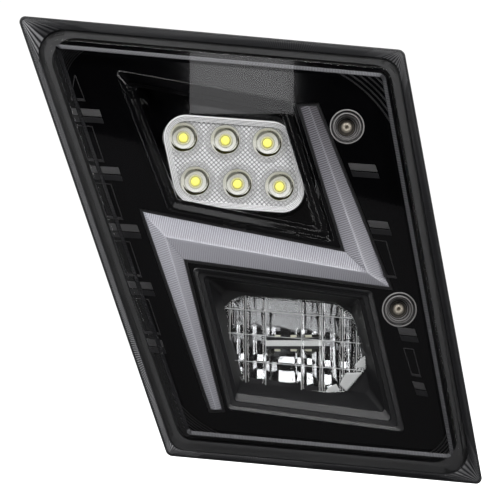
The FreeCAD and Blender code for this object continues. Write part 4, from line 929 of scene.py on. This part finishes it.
def makeOpticCover():
    front = lamp["moduleFront"]
    outer = [(opticEdge(0), front + 4.0)]
    outer += [(opticEdge(a), front + d) for a, d in optic["rimSteps"]]
    last = optic["rimSteps"][-1][0]
    inner = [(opticEdge(last), front + optic["faceDepth"] + 1.2), (opticEdge(2.2), front + 4.0)]
    rim = softened(skin("opticRim", outer + inner, "ring"), 0.06, 1, 20)
    corners = opticEdge(0)

    def depthIn(spot):
        return min(math.dist((spot.x, spot.z), corner) for corner in corners)

    def toneAt(spot):
        # painted shade: the outer edge is painted dark
        return 0.05 if spot.y > front + optic["rimLow"] and depthIn(spot) < 0.6 else 0.95

    return toned(rim, toneAt)


def makeRimLines():
    # painted reflection: thin dark strips where the rim's steps meet, standing in for the black pocket seen
    # in the clear steps
    front, half = lamp["moduleFront"], optic["lineWidth"] / 2
    lines = []
    for at in optic["rimLines"]:
        depth = next(d for a, d in optic["rimSteps"] if a >= at)
        levels = [(opticEdge(at - half), front + depth + 0.1), (opticEdge(at - half), front + depth - 0.06),
                  (opticEdge(at + half), front + depth - 0.06), (opticEdge(at + half), front + depth + 0.1)]
        lines.append(skin("line", levels, "ring"))
    return smoothed(joined("opticRimReflectionLines", lines), 30)


def makeOpticPane():
    front = lamp["moduleFront"]
    outline = opticEdge(optic["rimSteps"][-1][0] - 0.2)
    return softened(plate("opticPane", outline, front + 1.5, front + 2.1), 0.1, 2)


def makeCup(centre):
    front = lamp["moduleFront"] + optic["faceDepth"] + 0.6
    radius, depth, throat = optic["cupRadius"], optic["cupDepth"], optic["throat"]
    levels = []
    for reach in reversed(optic["rings"]):
        high = front - optic["ringHeight"]
        levels += [(circle(centre, reach + 0.22, 64), front + 0.25), (circle(centre, reach, 64), high),
                   (circle(centre, reach - 0.22, 64), front)]
    for k in range(15):
        share = k / 14
        r = radius + (throat - radius) * share
        y = depth * (1 - ((r * r - throat * throat) / (radius * radius - throat * throat))) ** 0.9
        levels.append((circle(centre, r, 64), front + y))
    levels.append((circle(centre, throat, 64), front + depth + 0.8))
    levels.append((circle(centre, optic["rings"][-1], 64), front + depth + 0.8))
    levels.append((circle(centre, optic["rings"][-1] + 0.22, 64), front + 0.6))
    cup = skin("cup", levels, "ring")

    def toneAt(spot):
        dx, dz = spot.x - centre[0], spot.z - centre[1]
        reach, turn = math.hypot(dx, dz), math.atan2(dz, dx)
        # painted shade: the rings' crests are painted light and their valleys dark
        if reach > radius + 0.2:
            return 0.98 if spot.y < front - 0.1 else 0.12
        # painted reflection: the dark crescent marks are the black pocket mirrored in the cup
        tone = 1.0
        for middle, middleReach, width, strength in optic["reflectedCrescents"]:
            away = (turn - middle + math.pi) % math.tau - math.pi
            thick = width * math.cos(max(-math.pi / 2, min(math.pi / 2, away * 1.5)))
            cover = 2.2 * (1 - abs(reach - middleReach) / (thick + 0.01))
            tone -= strength * max(0.0, min(1.0, cover))
        return max(tone, 0.0)

    return toned(cup, toneAt)


def makeOpticFace():
    # the silvered plate that the six cups stand in
    front = lamp["moduleFront"] + optic["faceDepth"] + 0.6
    outline = opticEdge(optic["rimSteps"][-1][0] - 0.4)
    face = plate("opticFace", outline, front, front + 1.2)
    holes = [plate("hole", circle(c, optic["cupRadius"] + 0.1, 64), front - 1, front + 2) for c in ledCentres]
    return softened(combined(face, holes, "DIFFERENCE"), 0.1, 2)


def makeKnurlFinish():
    # fine crossed lines cut in the silvered plate between the cups
    material = mouldedFinish("knurlSilver", (0.80, 0.81, 0.83), (0.92, 0.92, 0.93), 0.2,
                             grain=2500, depth=0.05, scratches=0.1)
    tree = material.node_tree
    shader = tree.nodes["Principled BSDF"]
    coords = addNode(tree, "ShaderNodeTexCoord", -1100, -300)
    total = None
    for turn in (0.75, -0.85):
        place = addNode(tree, "ShaderNodeMapping", -900, -300)
        place.inputs["Rotation"].default_value = (0, turn, 0)
        wave = addNode(tree, "ShaderNodeTexWave", -700, -300, wave_type="BANDS", bands_direction="X")
        wave.inputs["Scale"].default_value = 180.0
        tree.links.new(coords.outputs["Object"], place.inputs["Vector"])
        tree.links.new(place.outputs["Vector"], wave.inputs["Vector"])
        band = wave.outputs["Fac"]
        total = band if total is None else mathNode(tree, "MULTIPLY", total, band)
    cells = mathNode(tree, "MULTIPLY", total, 4.0, clamp=True)
    # painted shade: the cut lines are painted darker than the cells between them
    spots = addNode(tree, "ShaderNodeMix", -400, 300, data_type="RGBA")
    spots.inputs["A"].default_value = (0.34, 0.34, 0.35, 1)
    spots.inputs["B"].default_value = (0.97, 0.97, 0.98, 1)
    tree.links.new(cells, spots.inputs["Factor"])
    tree.links.new(spots.outputs["Result"], shader.inputs["Base Color"])
    bump = next(n for n in tree.nodes if n.type == "BUMP")
    bump.inputs["Distance"].default_value = 0.2 * mm
    tree.links.new(total, bump.inputs["Height"])
    return material


def makeLeds():
    # each phosphor sits on its package, and the cup's throat shows it as a disc in a ring
    front = lamp["moduleFront"] + optic["faceDepth"] + 0.6 + optic["cupDepth"]
    discs, ringSet = [], []
    for c in ledCentres:
        r = optic["phosphorRadius"]
        discs.append(skin("disc", [(circle(c, r, 40), front + 0.4), (circle(c, r, 40), front - 1.3),
                                   (circle(c, r * 0.93, 40), front - 1.65),
                                   (circle(c, r * 0.7, 40), front - 1.8)]))
        outer = optic["ringRadius"]
        profile = [(outer + 0.2, 0.4), (outer, -0.6), (outer - 0.5, -0.9), (r + 0.5, -0.5), (r + 0.2, 0.4)]
        ringSet.append(skin("ring", [(circle(c, reach, 40), front + d) for reach, d in profile], "ring"))
    return joined("phosphorDiscs", discs), joined("ledRings", ringSet)


dressed(makeOpticCover(), finishes["opticSilver"], "optic_clear", "upper_module", "module_cover")
dressed(makeRimLines(), finishes["satinBlack"], "optic_clear", "upper_module", "module_cover")
dressed(makeOpticPane(), finishes["opticClear"], "optic_clear", "upper_module", "module_cover")
dressed(smoothed(joined("opticCups", [makeCup(c) for c in ledCentres]), 35), finishes["cupSilver"],
        "reflector_silver", "upper_module", "module_reflector")
dressed(makeOpticFace(), makeKnurlFinish(), "reflector_silver", "upper_module", "module_reflector")
discs, ledRings = makeLeds()
dressed(smoothed(discs, 30), finishes["phosphor"], "phosphor_yellow", "upper_module", "led_phosphors")
dressed(smoothed(ledRings, 30), finishes["ledCeramic"], "led_ceramic", "upper_module", "led_domes")
print("upper optic made")

# lower optic: fluted clear window over a chrome bowl with rows of curved cells
lower = {
    "seat": -54.0, "windowFront": -61.0,
    "columns": [-17.0, -10.5, -2.2, 8.3, 27.0, 38.0, 48.7, 56.0, 63.0],
    "rows": [-21.5, -33.5, -46.3, -60.5, -77.5], "rowLean": -0.08,
    "flute": 0.9, "seam": 0.38, "cellDepth": 2.6, "bowlFall": 9.0,
}


def sheet(name, xs, zs, depthAt, thickness):
    # a grid whose columns and rows stand at xs and zs, with a depth of its own at each point
    deselectAll()
    columns, rows = len(xs) - 1, len(zs) - 1
    bpy.ops.mesh.primitive_grid_add(x_subdivisions=columns, y_subdivisions=rows, size=2)
    piece = bpy.context.object
    piece.name = piece.data.name = name
    for vertex in piece.data.vertices:
        i = round((vertex.co.x + 1) / 2 * columns)
        j = round((vertex.co.y + 1) / 2 * rows)
        x, z = xs[i], zs[j] + (xs[i] - lower["bowlCentre"][0]) * lower["rowLean"]
        vertex.co = (x * mm, depthAt(x, zs[j], i, j) * mm, z * mm)
    bpy.ops.object.mode_set(mode="EDIT")
    bpy.ops.mesh.select_all(action="SELECT")
    bpy.ops.mesh.extrude_region_move(TRANSFORM_OT_translate={"value": (0, thickness * mm, 0)})
    bpy.ops.mesh.select_all(action="SELECT")
    bpy.ops.mesh.normals_make_consistent(inside=False)
    bpy.ops.object.mode_set(mode="OBJECT")
    return piece


lower["bowlCentre"] = lamp["bowlCentre"]


def spread(stops, parts, groove):
    # stops become a fine ladder with a narrow groove at each stop
    result = []
    for a, b in zip(stops, stops[1:]):
        for k in range(parts + 1):
            result.append(a + (b - a) * (groove / abs(b - a) + (1 - 2 * groove / abs(b - a)) * k / parts))
    return result


def cellShare(value, stops):
    for a, b in zip(stops, stops[1:]):
        if min(a, b) <= value <= max(a, b):
            return abs(value - a) / abs(b - a)
    return 0.5


def makeWindow():
    front = lower["windowFront"]
    xs = spread(lower["columns"], 10, 0.25)
    zs = spread(lower["rows"], 4, 0.3)

    def depthAt(x, z, i, j):
        across, up = cellShare(x, lower["columns"]), cellShare(z, lower["rows"])
        bulge = 4 * across * (1 - across)
        edgeUp = min(1.0, min(up, 1 - up) * 12)
        edgeAcross = min(1.0, min(across, 1 - across) * 14)
        return front + 1.4 - lower["flute"] * bulge ** 0.7 - 0.35 * edgeUp * edgeAcross

    face = sheet("windowFace", xs, zs, depthAt, 4.2)
    body = plate("cut", rounded(lamp["window"], 1.5, 5), front - 1, lower["seat"] + 3)
    combined(face, [body], "INTERSECT")
    rim = skin("windowRim", [(rounded(lamp["window"], 1.5, 5), lower["seat"]),
                             (rounded(lamp["window"], 1.5, 5), front + 0.5),
                             (rounded(inset(lamp["window"], 0.5), 1.3, 5), front + 0.05),
                             (rounded(inset(lamp["window"], 1.2), 1.1, 5), front + 0.35),
                             (rounded(inset(lamp["window"], 1.2), 1.1, 5), lower["seat"])], "ring")
    return smoothed(face, 35), softened(rim, 0.08, 1, 20)


def makeWindowGrid():
    # narrow raised seams between the flutes and between the rows, painted pale as a highlight
    front = lower["windowFront"]
    half, lean, middle = lower["seam"] / 2, lower["rowLean"], lower["bowlCentre"][0]
    low, high = lower["rows"][-1] - 8, lower["rows"][0] + 8
    seams = []
    for x in lower["columns"][1:-1]:
        seams.append(plate("seam", [(x - half, high), (x + half, high), (x + half, low), (x - half, low)],
                           front + 0.1, front + 1.2))
    left, right = lower["columns"][0] - 2, lower["columns"][-1] + 2
    for z in lower["rows"][1:-1]:
        a, b = z + (left - middle) * lean, z + (right - middle) * lean
        seams.append(plate("seam", [(left, a + half), (right, b + half), (right, b - half), (left, a - half)],
                           front, front + 1.2))
    limit = plate("limit", rounded(inset(lamp["window"], 0.8), 1.3, 5), front - 1, front + 3)
    clipped = [combined(seam, [twinOf(limit)], "INTERSECT") for seam in seams]
    bpy.data.objects.remove(limit)
    return softened(joined("windowGrid", clipped), 0.08, 1)


def twinOf(piece):
    twin = piece.copy()
    twin.data = piece.data.copy()
    bpy.context.collection.objects.link(twin)
    return twin


def makeBowl():
    xs = spread([c for c in lower["columns"]], 8, 0.3)
    zs = spread([lower["rows"][0] + 6] + lower["rows"][1:-1] + [lower["rows"][-1] - 6], 8, 0.3)
    rowStops = [lower["rows"][0] + 6] + lower["rows"][1:-1] + [lower["rows"][-1] - 6]
    middle = lower["bowlCentre"]

    def depthAt(x, z, i, j):
        across, up = cellShare(x, lower["columns"]), cellShare(z, rowStops)
        reach = ((x - middle[0]) / 40) ** 2 + ((z - middle[1]) / 28) ** 2
        pillow = 4 * across * (1 - across) * 0.75 + 4 * up * (1 - up) * 0.25
        return -52.5 + lower["bowlFall"] * max(0.0, 1 - reach) + lower["cellDepth"] * pillow

    bowl = sheet("bowlCells", xs, zs, depthAt, 2.0)
    body = plate("cut", rounded(inset(lamp["window"], 0.4), 1.3, 5), -56.0, -30.0)
    return smoothed(combined(bowl, [body], "INTERSECT"), 30)


def makeBowlWall():
    window = lamp["window"]
    levels = [(rounded(inset(window, 0.25), 1.4, 5), -53.9), (rounded(inset(window, 0.3), 1.4, 5), -44.0),
              (rounded(inset(window, -0.1), 1.4, 5), -44.0), (rounded(inset(window, -0.1), 1.4, 5), -53.9)]
    return smoothed(skin("bowlWall", levels, "ring"), 30)


def makeFacets():
    # three corner facets moulded in the window's lower right, painted bright as a highlight
    window = lamp["window"]
    front = lower["windowFront"]
    pads = []
    for corners in ([(54.6, -60.6), (60.9, -54.6), (61.0, -62.0), (56.4, -62.6)],
                    [(50.2, -64.6), (59.8, -64.0), (50.6, -74.6), (46.6, -70.8)],
                    [(41.2, -72.0), (45.6, -70.0), (47.8, -74.9), (38.6, -75.1)]):
        outer, top = rounded(inset(corners, 0.25), 0.4, 3), rounded(inset(corners, 0.8), 0.3, 3)
        pads.append(skin("facet", [(outer, front + 1.4), (outer, front + 0.3), (top, front + 0.02)]))
    return softened(joined("windowFacets", pads), 0.08, 1, 20)


def makeClearFluted():
    # solid clear plastic that bends what is behind it, and lets the lamps' light in
    material, tree, shader = newMaterial("flutedClear")
    surface = addNode(tree, "ShaderNodeGroup", -700, 0, node_tree=mouldGrain)
    surface.inputs["Grain scale"].default_value = 400.0
    surface.inputs["Base roughness"].default_value = 0.02
    surface.inputs["Spread"].default_value = 0.02
    surface.inputs["Scratches"].default_value = 0.05
    bump = addNode(tree, "ShaderNodeBump", -450, -250)
    bump.inputs["Strength"].default_value = 0.2
    bump.inputs["Distance"].default_value = 0.01 * mm
    tree.links.new(surface.outputs["Roughness"], shader.inputs["Roughness"])
    tree.links.new(surface.outputs["Height"], bump.inputs["Height"])
    tree.links.new(bump.outputs["Normal"], shader.inputs["Normal"])
    shader.inputs["Base Color"].default_value = (0.97, 0.98, 0.98, 1)
    shader.inputs["IOR"].default_value = 1.49
    shader.inputs["Transmission Weight"].default_value = 1.0
    path = addNode(tree, "ShaderNodeLightPath", -200, 500)
    through = addNode(tree, "ShaderNodeBsdfTransparent", 0, 300)
    either = mathNode(tree, "MAXIMUM", path.outputs["Is Shadow Ray"], path.outputs["Is Diffuse Ray"])
    mix = addNode(tree, "ShaderNodeMixShader", 250, 150)
    tree.links.new(either, mix.inputs[0])
    tree.links.new(shader.outputs[0], mix.inputs[1])
    tree.links.new(through.outputs[0], mix.inputs[2])
    tree.links.new(mix.outputs[0], tree.nodes["Material Output"].inputs["Surface"])
    return material


fluted = makeClearFluted()
windowFace, windowRim = makeWindow()
dressed(windowFace, fluted, "optic_clear", "lamp_body", "lower_window")
dressed(windowRim, fluted, "optic_clear", "lamp_body", "lower_window")
dressed(makeWindowGrid(), finishes["windowHighlight"], "optic_clear", "lamp_body", "lower_window")
dressed(makeFacets(), finishes["windowHighlight"], "optic_clear", "lamp_body", "lower_window")
dressed(makeBowl(), finishes["bowlSilver"], "reflector_silver", "lamp_body", "lower_reflector")
dressed(makeBowlWall(), finishes["bowlSilver"], "reflector_silver", "lamp_body", "lower_reflector")
print("lower optic made")

# bezel screws: washer head with a hub and a six-sided socket
screw = {"head": 4.2, "hub": 2.1, "seat": -66.0, "headHeight": 2.4, "shank": 2.0, "length": 16.0}


def makeBezelScrews():
    made = []
    seat, top = screw["seat"], screw["seat"] - screw["headHeight"]
    for c in lamp["bezelScrews"]:
        profile = [(screw["shank"], seat + screw["length"]), (screw["shank"], seat), (screw["head"], seat),
                   (screw["head"], top + 1.5), (screw["head"] - 0.5, top + 0.9),
                   (screw["hub"] + 1.0, top + 0.6),
                   (screw["hub"] + 0.3, top), (screw["hub"], top - 0.7), (screw["hub"] - 0.4, top - 0.8)]
        body = skin("screw", [(circle(c, r, 48), y) for r, y in profile])
        socket = plate("socket", circle(c, 1.15, 6), top - 2, top + 1.4)
        made.append(combined(body, [socket], "DIFFERENCE"))
    heads = softened(joined("bezelScrewHeads", made), 0.12, 2, 30)

    def toneAt(spot):
        # lighter hub, an outer edge painted light as its highlight, and a darker washer between them
        reach = min(math.dist((spot.x, spot.z), c) for c in lamp["bezelScrews"])
        return 0.95 if reach < screw["hub"] + 0.4 else 0.6 if reach > screw["head"] - 0.3 else 0.12

    return toned(heads, toneAt)


dressed(makeBezelScrews(), finishes["bronzeSteel"], "screw_dark", "lamp_body", "bezel_screws")

# CAD nodes that keep their shape get their finish here, with edges rounded on a merged copy
plain = {
    "housing": ("housingBlack", "housing_black", 0.5), "lens_seal": ("sealantGrey", "sealant_grey", 0.1),
    "guide_tray": ("satinBlack", "bezel_gloss_black", 0.15), "drl_board": ("boardWhite", "board_white", 0.1),
    "drl_leds": ("ledCeramic", "led_ceramic", 0.1), "drl_board_screws": ("steel", "screw_steel", 0.1),
    "module_board": ("boardWhite", "board_white", 0.1), "module_leds": ("ledCeramic", "led_ceramic", 0.1),
    "module_board_screws": ("steel", "screw_steel", 0.15), "module_thermal_pad": ("padGrey", "pad_grey", 0.1),
    "module_heat_sink": ("castAluminium", "heat_sink_aluminium", 0.3),
    "module_frame": ("satinBlack", "frame_black", 0.4),
    "pivot_bracket_left": ("satinBlack", "frame_black", 0.4),
    "pivot_bracket_right": ("satinBlack", "frame_black", 0.4),
    "pivot_bushes": ("nylonWhite", "nylon_white", 0.15),
    "bracket_screws": ("steel", "screw_steel", 0.2), "adjuster_screw": ("nylonWhite", "nylon_white", 0.25),
    "adjuster_clip": ("steel", "screw_steel", 0.1), "adjuster_nut": ("nylonWhite", "nylon_white", 0.3),
    "adjuster_sleeve": ("nylonWhite", "nylon_white", 0.2),
    "adjuster_ring": ("rubberBlack", "gasket_black", 0.0),
    "reflector_screws": ("steel", "screw_steel", 0.1), "blade_boards": ("satinBlack", "parts_black", 0.1),
    "blade_leds": ("ledCeramic", "led_ceramic", 0.15),
    "lower_heat_sink": ("castAluminium", "heat_sink_aluminium", 0.35),
    "heat_sink_gasket": ("rubberBlack", "gasket_black", 0.1),
    "heat_sink_screws": ("steel", "screw_steel", 0.25),
    "rear_cover": ("satinBlack", "housing_black", 0.4), "cover_gasket": ("rubberBlack", "gasket_black", 0.1),
    "cover_screws": ("steel", "screw_steel", 0.25), "vent_caps": ("rubberBlack", "gasket_black", 0.5),
    "connector_socket": ("satinBlack", "housing_black", 0.3), "connector_pins": ("tin", "pin_tin", 0.1),
    "connector_seal": ("sealOrange", "seal_orange", 0.1), "connector_screws": ("steel", "screw_steel", 0.25),
    "driver_board": ("boardGreen", "board_green", 0.1), "driver_parts": ("satinBlack", "parts_black", 0.3),
    "driver_screws": ("steel", "screw_steel", 0.1), "mounting_studs": ("zinc", "stud_zinc", 0.3),
    "stud_spacers": ("housingBlack", "housing_black", 0.5),
}


def refined(node, round):
    # a merged copy of a CAD node with its edges rounded
    source = frame["nodes"][node]
    piece = source.copy()
    piece.data = source.data.copy()
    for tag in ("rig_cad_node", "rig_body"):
        if tag in piece:
            del piece[tag]
    piece.parent = None
    piece.name = piece.data.name = node + "_finished"
    bpy.context.collection.objects.link(piece)
    pick(piece)
    bpy.ops.object.mode_set(mode="EDIT")
    bpy.ops.mesh.select_all(action="SELECT")
    bpy.ops.mesh.remove_doubles(threshold=2e-6)
    bpy.ops.mesh.dissolve_limited(angle_limit=math.radians(1.0))
    bpy.ops.object.mode_set(mode="OBJECT")
    bpy.ops.mesh.customdata_custom_splitnormals_clear()
    if round:
        return softened(piece, round, 2, 30)
    return smoothed(piece, 40)


for node, (finish, slotName, round) in plain.items():
    home = frame["nodes"][node]["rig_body"]
    dressed(refined(node, round), finishes[finish], slotName, home, node)
print("carried parts finished")

# stage: pale floor and backdrop, soft lights, and reflected cards
stage = {
    "floorDrop": 0.16, "cameraBack": 1.0, "frameWidth": 0.26,
    "softbox": [(-0.062, 0.218), (0.045, 0.218), (0.045, 0.140), (-0.062, 0.140)],
    "veilTop": [(-0.30, 0.155), (0.30, 0.010)],
}


def cardFinish(name, strength, colour=(1, 1, 1)):
    material = bpy.data.materials.new(name)
    material.use_nodes = True
    tree = material.node_tree
    tree.nodes.clear()
    glow = addNode(tree, "ShaderNodeEmission")
    glow.inputs["Color"].default_value = (*colour, 1)
    glow.inputs["Strength"].default_value = strength
    end = addNode(tree, "ShaderNodeOutputMaterial", 200)
    tree.links.new(glow.outputs[0], end.inputs["Surface"])
    return material


def makeCard(name, corners, y, material):
    deselectAll()
    bpy.ops.mesh.primitive_plane_add(size=1)
    card = bpy.context.object
    card.name = name
    for vertex, (x, z) in zip(card.data.vertices, (corners[3], corners[2], corners[0], corners[1])):
        vertex.co = (x, y, z)
    card.data.materials.append(material)
    card.visible_camera = False
    card.visible_diffuse = False
    card.visible_shadow = False
    return card


cameraY = lamp["flangeFront"] * mm - stage["cameraBack"]
makeCard("softCard", stage["softbox"], cameraY, cardFinish("softCard", 1.45, (0.98, 0.98, 1.0)))
(leftX, leftZ), (rightX, rightZ) = stage["veilTop"]
makeCard("veilCard", [(leftX, leftZ), (rightX, rightZ), (rightX, -1.2), (leftX, -1.2)], cameraY - 0.01,
         cardFinish("veilCard", 0.055, (1.0, 0.98, 1.0)))


def makeFloor():
    deselectAll()
    bpy.ops.mesh.primitive_plane_add(size=8, location=(0, 0, cadBox[0].z - stage["floorDrop"]))
    floor = bpy.context.object
    floor.name = "floor"
    bpy.ops.object.mode_set(mode="EDIT")
    bpy.ops.mesh.subdivide(number_cuts=3)
    bpy.ops.object.mode_set(mode="OBJECT")
    material = bpy.data.materials.new("paleFloor")
    material.use_nodes = True
    shader = material.node_tree.nodes["Principled BSDF"]
    shader.inputs["Base Color"].default_value = (0.9, 0.9, 0.9, 1)
    shader.inputs["Roughness"].default_value = 0.8
    shader.inputs["Emission Color"].default_value = (1, 1, 1, 1)
    shader.inputs["Emission Strength"].default_value = 1.0
    floor.data.materials.append(material)
    floor.visible_glossy = False
    floor.visible_diffuse = False


makeFloor()


def makeWorld():
    world = bpy.data.worlds.new("studio")
    bpy.context.scene.world = world
    world.use_nodes = True
    tree = world.node_tree
    tree.nodes.clear()
    path = addNode(tree, "ShaderNodeLightPath", -600, 300)
    white = addNode(tree, "ShaderNodeBackground", -200, 200)
    white.inputs["Color"].default_value = (1, 1, 1, 1)
    white.inputs["Strength"].default_value = 1.05
    coords = addNode(tree, "ShaderNodeTexCoord", -1200, -100)
    split = addNode(tree, "ShaderNodeSeparateXYZ", -1000, -100)
    tree.links.new(coords.outputs["Generated"], split.inputs[0])
    # dark in front of the lamp, brighter round the sides and behind
    ramp = addNode(tree, "ShaderNodeValToRGB", -700, -100)
    back = mathNode(tree, "MULTIPLY_ADD", split.outputs["Y"], 0.5)
    back.node.inputs[2].default_value = 0.5
    tree.links.new(back, ramp.inputs["Fac"])
    ramp.color_ramp.elements[0].position = 0.42
    ramp.color_ramp.elements[0].color = (0.0, 0.0, 0.0, 1)
    ramp.color_ramp.elements[1].position = 0.78
    ramp.color_ramp.elements[1].color = (0.75, 0.76, 0.78, 1)
    around = addNode(tree, "ShaderNodeBackground", -200, -50)
    around.inputs["Strength"].default_value = 0.6
    tree.links.new(ramp.outputs["Color"], around.inputs["Color"])
    mix = addNode(tree, "ShaderNodeMixShader", 100, 100)
    tree.links.new(path.outputs["Is Camera Ray"], mix.inputs[0])
    tree.links.new(around.outputs[0], mix.inputs[1])
    tree.links.new(white.outputs[0], mix.inputs[2])
    end = addNode(tree, "ShaderNodeOutputWorld", 300, 100)
    tree.links.new(mix.outputs[0], end.inputs["Surface"])


makeWorld()


def addLight(name, spot, target, size, height, watts):
    deselectAll()
    bpy.ops.object.light_add(type="AREA", location=spot)
    light = bpy.context.object
    light.name = name
    light.data.shape = "RECTANGLE"
    light.data.size, light.data.size_y = size, height
    light.data.energy = watts
    light.rotation_euler = (Vector(target) - Vector(spot)).to_track_quat("-Z", "Y").to_euler()
    return light


addLight("keyTop", (0.0, -1.1, 0.75), (0, -0.05, 0), 1.1, 0.45, 11.5)
addLight("leftStrip", (-0.75, -1.0, 0.15), (0, -0.05, 0), 0.35, 0.9, 5.0)
addLight("rightStrip", (0.75, -1.0, 0.05), (0, -0.05, 0), 0.35, 0.9, 4.4)
addLight("topBack", (0.0, -0.1, 1.1), (0, -0.05, 0), 1.2, 0.5, 4.0)
addLight("rearFill", (0.4, 1.2, 0.8), (0, 0, 0), 1.0, 1.0, 10.0)

deselectAll()
bpy.ops.object.camera_add(location=(0, cameraY, 0), rotation=(math.radians(90), 0, 0))
camera = bpy.context.object
camera.data.sensor_width = 36.0
camera.data.lens = 36.0 * stage["cameraBack"] / stage["frameWidth"]
camera.data.clip_start = 0.01
bpy.context.scene.camera = camera
bpy.context.scene.view_settings.view_transform = "Standard"
bpy.context.scene.cycles.transparent_max_bounces = 24
print("stage set")
